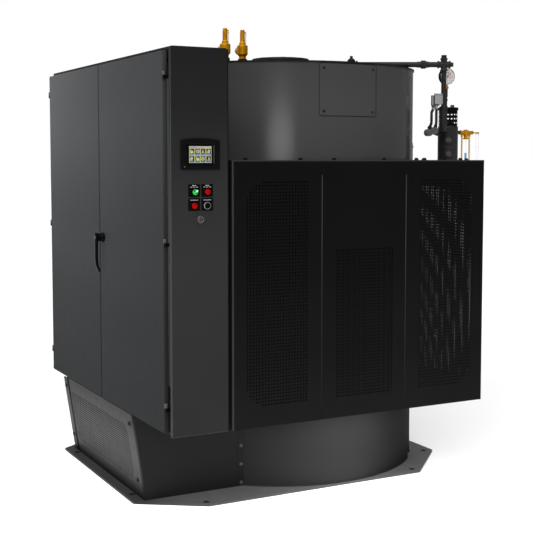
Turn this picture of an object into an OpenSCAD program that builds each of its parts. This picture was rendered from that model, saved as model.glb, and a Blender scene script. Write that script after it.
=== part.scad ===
// Vertical packaged steam boiler on one floor plate: round insulated vessel,
// two-door control cabinet on a louvred pedestal, perforated front cover, and
// the safety valves, water column and gauges on and beside the vessel top.
// Millimetres. Origin: vessel axis on the floor. +Z up, -Y is the cover side,
// -X is the side the cabinet doors face.

/* [Vessel] */
// outer radius of the insulated jacket
vessel_r = 724; // [600:2:900]
// height of the jacket's top edge above the floor
jacket_top = 2066; // [1800:2:2400]
// thickness of the jacket wall
jacket_t = 20; // [8:1:40]
// height at which the skirt ends and the jacket starts
skirt_top = 420; // [300:5:600]
// overhang of the top plate past the jacket
lid_over = 6; // [0:1:20]

/* [Floor plate] */
// thickness of the floor plate
plate_t = 10; // [6:1:25]
// radius of the anchor holes
anchor_r = 16.5; // [8:0.5:25]
// half depth of the floor plate, front to back
plate_half_y = 732; // [600:2:900]

/* [Cabinet] */
// underside of the cabinet above the floor
cab_z0 = 420; // [300:5:600]
// height of the cabinet
cab_h = 1650; // [1200:10:2000]
// width of the control panel, seen from the front
panel_w = 268; // [200:2:500]
// how far the panel and the cover stand in front of the vessel axis
front_y = -1011; // [-1300:1:-900]
// rear end of the cabinet
cab_rear = 708; // [500:2:900]
// thickness of the cabinet walls
wall_t = 12; // [4:1:20]
// thickness of the doors
door_t = 22; // [12:1:40]
// line where the two doors meet
seam_y = -127; // [-300:1:100]
// gap between the two doors
seam_gap = 8; // [5:1:15]

/* [Cover] */
// right-hand edge of the front cover
cover_x1 = 597; // [300:1:700]
// top of the front cover above the floor
cover_top_z = 1599; // [1200:1:1900]
// thickness of the cover sheets
cover_t = 5; // [2:0.5:8]

/* [Trim] */
// direction of the steam pipe on the vessel top, degrees from +X
trim_a = -27.7; // [-60:0.1:0]
// radius of the trim pipes
pipe_r = 14.5; // [8:0.5:30]
// height of the trim pipe's centre line
trim_z = 2112; // [2090:1:2200]
// radius of the water column
column_r = 55; // [30:1:90]
// lower end of the water column
column_z0 = 1440; // [1200:5:1600]
// radius of the pressure gauge
gauge_r = 45; // [30:1:80]

/* [Drawing] */
// sub-part to draw

/* [Hidden] */
panel_x0 = -1049;
panel_x1 = panel_x0 + panel_w;
body_x0 = -1031;
roof_z = cab_z0 + cab_h + 5;
panel_t = 20;
body_y0 = front_y + panel_t;
door_x0 = -1058.5;
door_x1 = door_x0 + door_t;
door_y0 = -949;
door_y1 = seam_y - seam_gap / 2;
door_y2 = seam_y + seam_gap / 2;
door_y3 = cab_rear - 7;
door_z0 = cab_z0 + 5.5;
door_z1 = roof_z - 17;
axis_x = -1054;
front_axis_y = door_y0 - 8;
rear_axis_y = door_y3 + 8;
hinge_zs = [541, 1249, 1955];
ped_front = -540;
ped_rear = 510;
louvre_x0 = -997;
louvre_x1 = -1057;
louvre_top = 416;
lean = atan((louvre_x0 - louvre_x1) / (louvre_top - plate_t));
notch_top = 62;
lid_z = jacket_top;
lid_top = lid_z + 6;
cover_x0 = panel_x1 + 15;
cover_back = -sqrt(pow(vessel_r + 1, 2) - pow(cover_x1 - cover_t, 2));
tee_rad = 396;
cross_rad = 896;
cross_x = cross_rad * cos(trim_a);
cross_y = cross_rad * sin(trim_a);
col_x = 868;
col_y = -360;
col_a = atan2(col_y, col_x);
col_rad = sqrt(col_x * col_x + col_y * col_y);
col_top = 1786;
glass_x = 991;
cock_z = 1750;
low_cock_z = 1490;
box_x = 746;
box_y = -418;
riser_r = 13.5;
valves = [[-459, -302], [-349, -273]];
noz_x = 12;
noz_y = -6;
gauge_x = 858;
gauge_z = 2055;
handle_y = -186;
handle_z = 1225;
btn_x1 = -940;
btn_x2 = -880.5;
btn_z1 = 1464.5;
btn_z2 = 1405.5;
C_JACKET = [0.24, 0.24, 0.24];
C_DOOR = [0.29, 0.30, 0.31];
C_PANEL = [0.13, 0.13, 0.13];
C_COVER = [0.08, 0.08, 0.08];
C_BRASS = [0.66, 0.44, 0.08];
C_PIPE = [0.16, 0.16, 0.17];
C_GREY = [0.60, 0.60, 0.60];
C_PLATE = [0.34, 0.34, 0.34];

// part of a round wall between two angles
module arc_wall(r, t, z0, z1, a0, a1) {
  rotate([0, 0, a0]) translate([0, 0, z0])
    rotate_extrude(angle = a1 - a0, $fn = 120)
      translate([r - t, 0]) square([t, z1 - z0]);
}
// block given by two opposite corners
module box(a, b) { translate(a) cube(b - a); }
// round bar between two heights
module post(x, y, z0, z1, r) { translate([x, y, z0]) cylinder(h = z1 - z0, r = r, $fn = 48); }
// six-sided piece between two heights
module nut(x, y, z0, z1, r) { translate([x, y, z0]) cylinder(h = z1 - z0, r = r, $fn = 6); }
// round bar along Y
module bar_y(x, y0, y1, z, r, n = 48) { translate([x, y0, z]) rotate([-90, 0, 0]) cylinder(h = y1 - y0, r = r, $fn = n); }
// round bar along X
module bar_x(x0, x1, y, z, r, n = 48) { translate([x0, y, z]) rotate([0, 90, 0]) cylinder(h = x1 - x0, r = r, $fn = n); }
// round bar between two points
module bar_p(a, b, r) {
  d = b - a;
  translate(a) rotate([0, acos(d[2] / norm(d)), atan2(d[1], d[0])]) cylinder(h = norm(d), r = r, $fn = 48);
}
// round bar along the steam pipe's direction, between two radii
module bar_t(r0, r1, z, r, n = 48) { rotate([0, 0, trim_a]) bar_x(r0, r1, 0, z, r, n); }

module plate_outline() {
  hull() {
    for (p = [[-1030, 524], [-744, plate_half_y - 20], [428, plate_half_y - 20], [712, 428]], s = [-1, 1])
      translate([p[0], s * p[1]]) circle(r = 20, $fn = 32);
  }
}
module base_plate() {
  color(C_PLATE) difference() {
    linear_extrude(height = plate_t) plate_outline();
    for (p = [[-1012, 420], [-746, 688], [417, 688], [680, 424]], s = [-1, 1])
      translate([p[0], s * p[1], -1]) cylinder(h = plate_t + 2, r = anchor_r, $fn = 48);
  }
}
module skirt_front() { color(C_JACKET) arc_wall(vessel_r - 2, jacket_t, plate_t, skirt_top, -135, -45); }
module skirt_right() { color(C_JACKET) arc_wall(vessel_r - 2, jacket_t, notch_top, skirt_top, -45, 45); }
module skirt_foot() {
  color(C_JACKET) difference() {
    arc_wall(vessel_r - 2, jacket_t, plate_t, notch_top, -45, 45);
    rotate([0, 0, -39.5]) box([600, -52, plate_t - 1], [800, 52, notch_top + 1]);
  }
}
module skirt_rear() { color(C_JACKET) arc_wall(vessel_r - 2, jacket_t, plate_t, skirt_top, 45, 225); }
module jacket_front() { color(C_JACKET) arc_wall(vessel_r, jacket_t, skirt_top, jacket_top, -135, -45); }
module jacket_right() { color(C_JACKET) arc_wall(vessel_r, jacket_t, skirt_top, jacket_top, -45, 45); }
module jacket_rear() { color(C_JACKET) arc_wall(vessel_r, jacket_t, skirt_top, jacket_top, 45, 135); }
module jacket_left() { color(C_JACKET) arc_wall(vessel_r, jacket_t, skirt_top, jacket_top, 135, 225); }
module top_plate() {
  color(C_COVER) {
    translate([0, 0, lid_z]) cylinder(h = lid_top - lid_z, r = vessel_r + lid_over, $fn = 120);
    for (p = valves) post(p[0], p[1], lid_z, 2104, 23.5);
  }
}
module top_nozzle() {
  color(C_PIPE) {
    post(noz_x, noz_y, lid_top, 2110, 112);
    post(noz_x, noz_y, 2110, 2125, 153);
    post(noz_x, noz_y, 2125, 2140, 153);
  }
}
module access_panel() { color(C_JACKET) arc_wall(vessel_r + 3, 3, 1812, 2060, -102.3, -76.9); }
module side_panel() { color(C_JACKET) arc_wall(vessel_r + 3, 3, 1410, 1690, -33.5, -7); }

module pedestal_front_wall() {
  color(C_COVER) difference() {
    translate([0, ped_front + 10, 0]) rotate([90, 0, 0]) linear_extrude(height = 10)
      polygon([[louvre_x0 + 8.5, plate_t], [-460, plate_t], [-460, louvre_top - 6], [louvre_x1 + 9.5, louvre_top - 6]]);
    translate([0, 0, -1]) cylinder(h = 800, r = vessel_r - 1.5, $fn = 120);
  }
}
module pedestal_rear_wall() {
  color(C_COVER) difference() {
    translate([0, ped_rear, 0]) rotate([90, 0, 0]) linear_extrude(height = 10)
      polygon([[louvre_x0 + 8.5, plate_t], [-500, plate_t], [-500, louvre_top - 6], [louvre_x1 + 9.5, louvre_top - 6]]);
    translate([0, 0, -1]) cylinder(h = 800, r = vessel_r - 1.5, $fn = 120);
  }
}
module leaning(y0, y1, t, drop = 0) {
  len = (louvre_top - plate_t) / cos(lean) - drop;
  intersection() {
    translate([louvre_x0, y0, plate_t]) rotate([0, -lean, 0]) translate([0, 0, -20]) cube([t, y1 - y0, len + 40]);
    box([-1200, y0 - 1, plate_t], [-800, y1 + 1, louvre_top - drop]);
  }
}
module louvre_panel() { color(C_PLATE) leaning(ped_front, 425, 8); }
module pedestal_strip() { color(C_PLATE) leaning(452, ped_rear, 8); }
module pedestal_deck() {
  color(C_COVER) difference() {
    box([louvre_x1 + 12, ped_front, louvre_top - 6], [-600, ped_rear, cab_z0]);
    translate([0, 0, -1]) cylinder(h = 800, r = vessel_r + 0.5, $fn = 120);
    box([-1100, ped_front - 1, louvre_top - 7], [-1039, ped_rear + 1, cab_z0 + 1]);
  }
}

module cabinet_floor() { color(C_PANEL) box([body_x0, body_y0, cab_z0], [panel_x1, cab_rear, cab_z0 + wall_t]); }
module cabinet_roof() { color(C_PANEL) box([body_x0, body_y0, roof_z - wall_t], [panel_x1, cab_rear, roof_z]); }
module cabinet_back_wall() {
  color(C_PANEL) box([panel_x1 - wall_t, body_y0 + wall_t, cab_z0 + wall_t], [panel_x1, cab_rear - wall_t, roof_z - wall_t]);
}
module cabinet_front_wall() {
  color(C_PANEL) box([body_x0, body_y0, cab_z0 + wall_t], [panel_x1, body_y0 + wall_t, roof_z - wall_t]);
}
module cabinet_rear_wall() {
  color(C_PANEL) box([body_x0, cab_rear - wall_t, cab_z0 + wall_t], [panel_x1, cab_rear, roof_z - wall_t]);
}
module cabinet_mullion() {
  color(C_PANEL) box([body_x0, seam_y - 30, cab_z0 + wall_t], [body_x0 + 30, seam_y + 30, roof_z - wall_t]);
}
module mounting_plate() {
  color(C_GREY) box([panel_x1 - wall_t - 6, -930, 500], [panel_x1 - wall_t, 650, 2000]);
}

module control_panel() {
  color(C_PANEL) difference() {
    box([panel_x0, front_y, cab_z0], [panel_x1, body_y0, cab_z0 + cab_h]);
    bar_y(btn_x1, front_y - 1, body_y0 + 1, btn_z1, 6);
    bar_y(btn_x2, front_y - 1, body_y0 + 1, btn_z2, 6);
  }
}
module hmi_bezel() {
  color([0.04, 0.04, 0.04]) difference() {
    box([-1004.5, front_y - 7, 1558.7], [-824.5, front_y, 1685.5]);
    box([-967.5, front_y - 8, 1584], [-857, front_y - 3, 1662]);
  }
}
module hmi_screen() { color([0.25, 0.30, 0.45]) box([-967.5, front_y - 5, 1584], [-857, front_y - 3, 1662]); }
module panel_fittings() {
  color([0.05, 0.05, 0.05]) {
    for (x = [btn_x1, btn_x2], z = [btn_z1, btn_z2])
      difference() {
        box([x - 27, front_y - 1.5, z - 27], [x + 27, front_y, z + 27]);
        bar_y(x, front_y - 3, front_y + 1, z, 8);
      }
    difference() {
      union() {
        bar_y(-914.2, front_y - 8, front_y, 1348.7, 18);
        bar_y(-914.2, front_y - 12, front_y - 8, 1348.7, 15);
      }
      for (d = [[-6, -4], [6, -4], [0, 6]])
        bar_y(-914.2 + d[0], front_y - 13, front_y - 7, 1348.7 + d[1], 2.6);
    }
  }
}
module lamp_bezels() {
  color([0.55, 0.05, 0.05]) for (p = [[btn_x2, btn_z1], [btn_x1, btn_z2]]) {
    bar_y(p[0], front_y - 8, front_y - 1.5, p[1], 15.5);
    bar_y(p[0], front_y - 20, front_y - 8, p[1], 13);
  }
  color([0.45, 0.45, 0.45]) difference() {
    bar_y(btn_x2, front_y - 9, front_y - 1.5, btn_z2, 15.5);
    bar_y(btn_x2, front_y - 10, front_y, btn_z2, 12);
  }
}
module cover_front() { color(C_COVER) box([cover_x0, front_y, cab_z0], [cover_x1, front_y + cover_t, cover_top_z]); }
module cover_side() {
  color(C_COVER) box([cover_x1 - cover_t, front_y + cover_t, cab_z0], [cover_x1, cover_back, cover_top_z]);
}
module cover_left() { color(C_COVER) box([cover_x0, front_y + cover_t, cab_z0], [cover_x0 + cover_t, -420, cover_top_z]); }
module cover_shelf(z0) {
  difference() {
    box([cover_x0 + cover_t, front_y + cover_t, z0], [cover_x1 - cover_t, -420, z0 + cover_t]);
    translate([0, 0, z0 - 1]) cylinder(h = cover_t + 2, r = vessel_r + 1, $fn = 120);
  }
}
module cover_top() { color(C_COVER) cover_shelf(cover_top_z - cover_t); }
module cover_bottom() { color(C_COVER) cover_shelf(cab_z0); }

module safety_valve(x, y) {
  color(C_BRASS) {
    nut(x, y, 2104, 2117, 18.5);
    post(x, y, 2117, 2128, 22);
    post(x, y, 2128, 2173, 26.5);
    bar_y(x, y, y + 52, 2150, 17);
    bar_y(x, y + 38, y + 50, 2150, 20);
    post(x, y, 2173, 2189, 16.5);
    post(x, y, 2189, 2239, 12.5);
    post(x, y, 2239, 2250, 11);
    box([x + 6, y - 9, 2183], [x + 16.5, y - 3, 2236]);
  }
}
module safety_valve_1() { safety_valve(valves[0][0], valves[0][1]); }
module safety_valve_2() { safety_valve(valves[1][0], valves[1][1]); }

module steam_pipe() {
  tx = tee_rad * cos(trim_a);
  ty = tee_rad * sin(trim_a);
  color(C_PIPE) {
    post(tx, ty, lid_top, 2096, 15);
    post(tx, ty, 2090, 2138, 20);
    nut(tx, ty, 2138, 2144, 17);
    translate([tx, ty, 2144]) rotate([0, 0, trim_a]) cylinder(h = 17, r = 11, $fn = 4);
    bar_t(tee_rad, cross_rad, trim_z, pipe_r);
    bar_t(tee_rad + 10, tee_rad + 34, trim_z, 19.5);
    bar_t(cross_rad - 124, cross_rad - 99, trim_z, 22.5, 8);
    bar_t(cross_rad - 145, cross_rad - 82, trim_z, 16.5);
    bar_t(cross_rad - 35, cross_rad + 35, trim_z, 19.5);
    bar_t(cross_rad + 35, cross_rad + 50, trim_z, 12);
    post(cross_x, cross_y, 2079, 2146, 19.5);
    translate([cross_x, cross_y, 2146]) rotate([0, 0, trim_a]) cylinder(h = 17, r = 13, $fn = 4);
  }
}
module column_riser() {
  d = sqrt(pow(col_x - cross_x, 2) + pow(col_y - cross_y, 2));
  a = atan2(col_y - cross_y, col_x - cross_x);
  color(C_PIPE) {
    post(cross_x, cross_y, 1880, 2079, riser_r);
    post(cross_x, cross_y, 1752, 1888, 20.5);
    difference() {
      translate([cross_x, cross_y, 1768]) rotate([0, 0, a]) {
        bar_x(0, d - 30, 0, 0, pipe_r);
        bar_x(8, 30, 0, 0, 18.5);
      }
      post(col_x, col_y, 1700, 1830, column_r + 0.4);
    }
  }
}
module water_column() {
  color(C_PIPE) {
    post(col_x, col_y, column_z0 + 14, col_top, column_r);
    post(col_x, col_y, column_z0, column_z0 + 14, 38);
    for (z = [1631, 1705]) translate([col_x, col_y, z]) rotate([0, 0, -123]) {
      bar_x(40, 62, 0, 0, 20);
      bar_x(62, 70, 0, 0, 16, 6);
    }
    rotate([0, 0, col_a]) {
      bar_x(vessel_r + 4, col_rad - 30, 0, 1475, 17);
      bar_x(vessel_r + 4, vessel_r + 16, 0, 1475, 34);
      bar_x(col_rad - 96, col_rad - 72, 0, 1475, 25, 6);
    }
  }
}
module probe_guard() {
  color(C_COVER) {
    post(col_x, col_y, col_top, 1870, 51);
    post(col_x, col_y, 1870, 1886, 56);
    post(888, -370, 1886, 1900, 12);
  }
}
module pressure_gauge() {
  color([0.05, 0.05, 0.05]) difference() {
    bar_y(gauge_x, -373, -338, gauge_z, gauge_r);
    bar_y(gauge_x, -374, -366, gauge_z, gauge_r - 5);
  }
}
module gauge_siphon() {
  color(C_BRASS) difference() {
    nut(gauge_x, -356, 1988, 2011, 11);
    bar_y(gauge_x, -400, -300, gauge_z, gauge_r + 0.4);
  }
  color(C_PIPE) {
    post(gauge_x, -356, 1942, 1988, 7);
    nut(gauge_x, -356, 1922, 1932, 8);
    post(gauge_x, -356, 1886, 1942, 5);
  }
}
module switch_box() {
  color(C_GREY) {
    box([box_x - 25, -441, 1896], [box_x + 25, -427, 1955]);
    box([box_x - 18, -428, 1900], [box_x + 18, -407, 1942]);
    box([box_x - 31, -422, 1889], [box_x + 19, -407, 1946]);
    bar_x(box_x + 10, cross_x - riser_r - 0.4, box_y, 1925, 6.5);
  }
}
module switch_conduits() {
  color(C_PIPE) {
    post(box_x - 2, -434, 1792, 1896, 7.8);
    bar_p([box_x - 2, -434, 1795], [727, -430, 1764], 7.8);
    post(738, -414, 1866, 1889, 7.8);
    bar_p([738, -414, 1870], [725, -414, 1856], 7.8);
    post(725, -414, 1792, 1858, 7.8);
    bar_p([725, -414, 1796], [683, -422, 1756], 7.8);
  }
  color(C_GREY) difference() {
    union() {
      bar_y(675, -442, -396, 1745, 19);
      bar_y(724, -442, -396, 1756, 19);
      bar_p([675, -406, 1745], [724, -406, 1748], 11);
      bar_p([724, -406, 1748], [846, -366, 1726], 10);
    }
    post(col_x, col_y, 1600, 1780, column_r + 0.6);
  }
}
module cock(z, up) {
  bar_x(947, 962, col_y, z, 13, 6);
  bar_x(960, 1020, col_y, z, 8.5);
  bar_x(1020, 1042.5, col_y, z, 10);
  bar_x(1042, 1074, col_y, z, 3);
  bar_x(1072, 1082, col_y, z, 5);
  post(glass_x, col_y, up > 0 ? z - 8 : z - 13, up > 0 ? z + 13 : z + 8, 16.5);
  post(glass_x, col_y, up > 0 ? z - 18 : z + 8, up > 0 ? z - 8 : z + 18, 14);
  post(glass_x, col_y, up > 0 ? z - 30 : z + 18, up > 0 ? z - 18 : z + 30, 11);
  post(glass_x, col_y, up > 0 ? z - 37 : z + 30, up > 0 ? z - 30 : z + 37, 16);
  for (x = [964, 1016]) post(x, col_y, up > 0 ? z - 16 : z + 3, up > 0 ? z - 3 : z + 16, 7);
  for (x = [1063, 1079]) box([x - 3, col_y - 3, up > 0 ? z - 9 : z - 2], [x + 3, col_y + 3, up > 0 ? z + 2 : z + 9]);
}
module gauge_cocks() {
  color(C_BRASS) {
    cock(cock_z, 1);
    cock(low_cock_z, -1);
  }
  color(C_PIPE) difference() {
    for (z = [cock_z, low_cock_z]) bar_x(900, 948, col_y, z, 9.5);
    post(col_x, col_y, 1400, 1800, column_r + 0.4);
  }
}
module gauge_glass() {
  color([0.55, 0.70, 0.80]) {
    post(glass_x, col_y, low_cock_z + 37, cock_z - 37, 8);
    box([1062, col_y - 2, low_cock_z + 9], [1080, col_y + 2, cock_z - 9]);
  }
}
module guard_rods() {
  color(C_BRASS) for (x = [964, 1016]) post(x, col_y, low_cock_z + 16, cock_z - 16, 4.6);
}

module knuckle_set(y, dir) {
  for (z = hinge_zs) {
    difference() {
      union() {
        post(axis_x, y, z + 1, z + 17, 6.5);
        box([axis_x - 4.5, min(y, y + dir * 8), z + 1], [axis_x + 6, max(y, y + dir * 8), z + 17]);
      }
      post(axis_x, y, z, z + 13, 3.3);
    }
  }
}
module pin_set(y) {
  for (z = hinge_zs) {
    post(axis_x, y, z - 16, z, 6.5);
    post(axis_x, y, z, z + 11, 3);
  }
}
module hinge_posts() {
  color(C_GREY) {
    pin_set(front_axis_y);
    pin_set(rear_axis_y);
    for (z = hinge_zs) {
      box([axis_x, front_axis_y - 5, z - 16], [body_x0, front_axis_y, z]);
      box([body_x0 - 8, body_y0, z - 16], [body_x0, front_axis_y, z]);
      box([axis_x, cab_rear, z - 16], [body_x0 + 26, cab_rear + 6, z]);
    }
  }
}
module front_knuckles() { color(C_GREY) knuckle_set(front_axis_y, 1); }
module rear_knuckles() { color(C_GREY) knuckle_set(rear_axis_y, -1); }
module front_door() {
  color(C_DOOR) difference() {
    box([door_x0, door_y0, door_z0], [door_x1, door_y1, door_z1]);
    bar_x(door_x0 - 1, door_x1 + 1, handle_y, handle_z, 8);
  }
}
module rear_door() { color(C_DOOR) box([door_x0, door_y2, door_z0], [door_x1, door_y3, door_z1]); }
module door_handle() {
  color([0.03, 0.03, 0.03]) {
    bar_x(door_x0 - 32, door_x0 - 1, handle_y, handle_z, 23);
    bar_x(door_x0 - 2, door_x1 - 4, handle_y, handle_z, 7);
    bar_x(door_x0 - 46, door_x0 - 30, handle_y, handle_z, 17);
    translate([0, handle_y + 10, 0]) rotate([90, 0, 0]) linear_extrude(height = 20)
      polygon([[door_x0 - 45, handle_z], [door_x0 - 31, handle_z], [door_x0 - 30, handle_z - 126],
        [door_x0 - 18, handle_z - 158], [door_x0 - 31, handle_z - 163], [door_x0 - 45, handle_z - 128]]);
  }
}
module selector_knob() {
  color([0.10, 0.40, 0.16]) {
    bar_y(btn_x1, front_y - 9, front_y - 2.5, btn_z1, 15.5);
    bar_y(btn_x1, front_y - 16, front_y - 9, btn_z1, 12.5);
    bar_y(btn_x1, front_y - 3, front_y + 10, btn_z1, 5.5);
    translate([btn_x1, 0, btn_z1]) rotate([0, 45, 0]) box([-4.5, front_y - 26, -12], [4.5, front_y - 15, 12]);
  }
}
module stop_button() {
  color([0.02, 0.02, 0.02]) {
    bar_y(btn_x2, front_y - 14, front_y - 6, btn_z2, 11);
    bar_y(btn_x2, front_y - 7, front_y + 8, btn_z2, 5.5);
  }
}

base_plate();
skirt_front();
skirt_right();
skirt_foot();
skirt_rear();
jacket_front();
jacket_right();
jacket_rear();
jacket_left();
top_plate();
top_nozzle();
access_panel();
side_panel();
pedestal_front_wall();
pedestal_rear_wall();
louvre_panel();
pedestal_strip();
pedestal_deck();
cabinet_floor();
cabinet_roof();
cabinet_back_wall();
cabinet_front_wall();
cabinet_rear_wall();
cabinet_mullion();
mounting_plate();
control_panel();
hmi_bezel();
hmi_screen();
panel_fittings();
lamp_bezels();
cover_front();
cover_side();
cover_left();
cover_top();
cover_bottom();
safety_valve_1();
safety_valve_2();
steam_pipe();
column_riser();
water_column();
probe_guard();
pressure_gauge();
gauge_siphon();
switch_box();
switch_conduits();
gauge_cocks();
gauge_glass();
guard_rods();
hinge_posts();
front_door();
front_knuckles();
door_handle();
rear_door();
rear_knuckles();
selector_knob();
stop_button();
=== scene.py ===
import math

import bmesh
import bpy
from mathutils import Matrix, Vector


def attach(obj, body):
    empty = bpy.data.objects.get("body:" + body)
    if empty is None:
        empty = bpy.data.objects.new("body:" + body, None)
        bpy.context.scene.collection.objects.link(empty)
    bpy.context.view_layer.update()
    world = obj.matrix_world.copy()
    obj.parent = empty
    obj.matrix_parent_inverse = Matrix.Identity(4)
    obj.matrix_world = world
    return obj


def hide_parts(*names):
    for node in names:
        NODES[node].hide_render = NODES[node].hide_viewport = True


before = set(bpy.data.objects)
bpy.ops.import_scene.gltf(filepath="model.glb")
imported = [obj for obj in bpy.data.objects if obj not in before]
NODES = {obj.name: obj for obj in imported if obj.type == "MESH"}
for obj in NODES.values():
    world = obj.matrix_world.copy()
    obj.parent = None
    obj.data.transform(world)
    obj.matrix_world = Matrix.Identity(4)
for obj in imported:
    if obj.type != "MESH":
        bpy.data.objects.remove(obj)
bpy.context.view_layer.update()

TAU = 2 * math.pi


# ---------------------------------------------------------------- materials
def shade(c, k):
    return tuple(min(1.0, max(0.0, x * k)) for x in c) + (1.0,)


def surf(name, col, var=0.10, scale=3.0, rough=(0.35, 0.45), rscale=18.0, bump=0.05, bscale=700.0,
         bdist=0.0006, metal=0.0, spec=0.5, coat=0.0, coat_rough=0.1, stretch=None, emit=0.0,
         transmission=0.0, ior=1.5, col2=None, edge=0.0, edge_col=None, painted_shade_stops=None, painted_shade_blur=0.02, axis="Z", alpha=1.0):
    """Procedural finish: clouded colour, uneven gloss and a fine surface relief, with paler edges where asked (partly
    rubbed wear, partly a painted edge highlight) and painted shade along one axis where asked.
    """
    m = bpy.data.materials.new(name)
    m.use_nodes = True
    nt = m.node_tree
    nt.nodes.clear()
    new, link = nt.nodes.new, nt.links.new
    out = new("ShaderNodeOutputMaterial")
    p = new("ShaderNodeBsdfPrincipled")
    link(p.outputs["BSDF"], out.inputs["Surface"])
    vec = new("ShaderNodeTexCoord").outputs["Object"]
    if stretch:
        mp = new("ShaderNodeMapping")
        mp.inputs["Scale"].default_value = stretch
        link(vec, mp.inputs["Vector"])
        vec = mp.outputs["Vector"]

    def noise(s, detail):
        n = new("ShaderNodeTexNoise")
        n.inputs["Scale"].default_value = s
        n.inputs["Detail"].default_value = detail
        link(vec, n.inputs["Vector"])
        return n.outputs["Fac"]

    ramp = new("ShaderNodeValToRGB")
    ramp.color_ramp.elements[0].position = 0.32
    ramp.color_ramp.elements[1].position = 0.68
    ramp.color_ramp.elements[0].color = shade(col, 1 - var)
    ramp.color_ramp.elements[1].color = shade(col2 or col, 1 + var)
    link(noise(scale, 6), ramp.inputs["Fac"])
    colour = ramp.outputs["Color"]
    # Paler edges found by a bevel test: partly rubbed wear, partly a painted highlight along the rims.
    if edge:
        bev = new("ShaderNodeBevel")
        bev.samples = 4
        bev.inputs["Radius"].default_value = 0.004
        geo = new("ShaderNodeNewGeometry")
        dot = new("ShaderNodeVectorMath")
        dot.operation = "DOT_PRODUCT"
        link(bev.outputs["Normal"], dot.inputs[0])
        link(geo.outputs["Normal"], dot.inputs[1])
        fade = new("ShaderNodeMapRange")
        fade.inputs["From Min"].default_value = 0.985
        fade.inputs["From Max"].default_value = 0.86
        fade.inputs["To Max"].default_value = edge
        link(dot.outputs["Value"], fade.inputs["Value"])
        wear_and_highlight = new("ShaderNodeMath")
        wear_and_highlight.operation = "MULTIPLY"
        link(fade.outputs["Result"], wear_and_highlight.inputs[0])
        link(noise(60.0, 4), wear_and_highlight.inputs[1])
        mix = new("ShaderNodeMix")
        mix.data_type = "RGBA"
        link(wear_and_highlight.outputs["Value"], mix.inputs["Factor"])
        link(colour, mix.inputs["A"])
        mix.inputs["B"].default_value = shade(edge_col or [min(1, x * 3 + 0.05) for x in col], 1)
        colour = mix.outputs["Result"]
    # Painted shade: the colour is dimmed along one axis by the listed stops, darker where less light falls.
    if painted_shade_stops:
        xyz = new("ShaderNodeSeparateXYZ")
        geo_pos = new("ShaderNodeNewGeometry")
        link(geo_pos.outputs["Position"], xyz.inputs["Vector"])
        rough_z = new("ShaderNodeMath")
        rough_z.operation = "MULTIPLY_ADD"
        link(noise(35.0, 5), rough_z.inputs[0])
        rough_z.inputs[1].default_value = painted_shade_blur
        link(xyz.outputs[axis], rough_z.inputs[2])
        z0, z1 = painted_shade_stops[0][0], painted_shade_stops[-1][0]
        band = new("ShaderNodeMapRange")
        band.inputs["From Min"].default_value = z0 + painted_shade_blur * 0.5
        band.inputs["From Max"].default_value = z1 + painted_shade_blur * 0.5
        link(rough_z.outputs["Value"], band.inputs["Value"])
        steps = new("ShaderNodeValToRGB")
        steps.color_ramp.interpolation = "EASE"
        top = max(f for _, f in painted_shade_stops)
        for k, (z, f) in enumerate(painted_shade_stops):
            pos = (z - z0) / (z1 - z0)
            e = steps.color_ramp.elements[0] if k == 0 else steps.color_ramp.elements[-1] if k == len(painted_shade_stops) - 1 else steps.color_ramp.elements.new(pos)
            e.position = pos
            e.color = (f / top, f / top, f / top, 1.0)
        link(band.outputs["Result"], steps.inputs["Fac"])
        painted_shade_mul = new("ShaderNodeVectorMath")
        painted_shade_mul.operation = "MULTIPLY"
        link(colour, painted_shade_mul.inputs[0])
        link(steps.outputs["Color"], painted_shade_mul.inputs[1])
        colour = painted_shade_mul.outputs["Vector"]
    link(colour, p.inputs["Base Color"])
    gloss = new("ShaderNodeMapRange")
    gloss.inputs["From Min"].default_value = 0.3
    gloss.inputs["From Max"].default_value = 0.7
    gloss.inputs["To Min"].default_value = rough[0]
    gloss.inputs["To Max"].default_value = rough[1]
    link(noise(rscale, 4), gloss.inputs["Value"])
    link(gloss.outputs["Result"], p.inputs["Roughness"])
    b = new("ShaderNodeBump")
    b.inputs["Strength"].default_value = bump
    b.inputs["Distance"].default_value = bdist
    link(noise(bscale, 3), b.inputs["Height"])
    link(b.outputs["Normal"], p.inputs["Normal"])
    p.inputs["Metallic"].default_value = metal
    p.inputs["Specular IOR Level"].default_value = spec
    p.inputs["Coat Weight"].default_value = coat
    p.inputs["Coat Roughness"].default_value = coat_rough
    p.inputs["IOR"].default_value = ior
    p.inputs["Transmission Weight"].default_value = transmission
    p.inputs["Alpha"].default_value = alpha
    if emit:
        link(colour, p.inputs["Emission Color"])
        p.inputs["Emission Strength"].default_value = emit
    return m


# Doors: painted shade, darker towards the bottom.
M_DOOR = surf("door_powder_coat", (0.0402, 0.0417, 0.0434), var=0.03, scale=2.2, rough=(0.46, 0.52), bump=0.10, bscale=1500, bdist=0.0003, spec=0.008, edge=0.22, painted_shade_stops=[(0.42, 0.47), (0.75, 0.53), (1.25, 0.68), (1.85, 0.97), (2.06, 1.0)])
# Control panel: painted shade, darker towards the top and a little at the foot.
M_PANEL = surf("panel_powder_coat", (0.0208, 0.0208, 0.0208), var=0.05, scale=2.5, rough=(0.44, 0.52), bump=0.10, bscale=1500, bdist=0.0003, spec=0.10, edge=0.30, painted_shade_stops=[(0.42, 0.76), (1.15, 1.0), (1.45, 0.88), (1.65, 0.68), (1.85, 0.48), (2.06, 0.38)])
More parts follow.
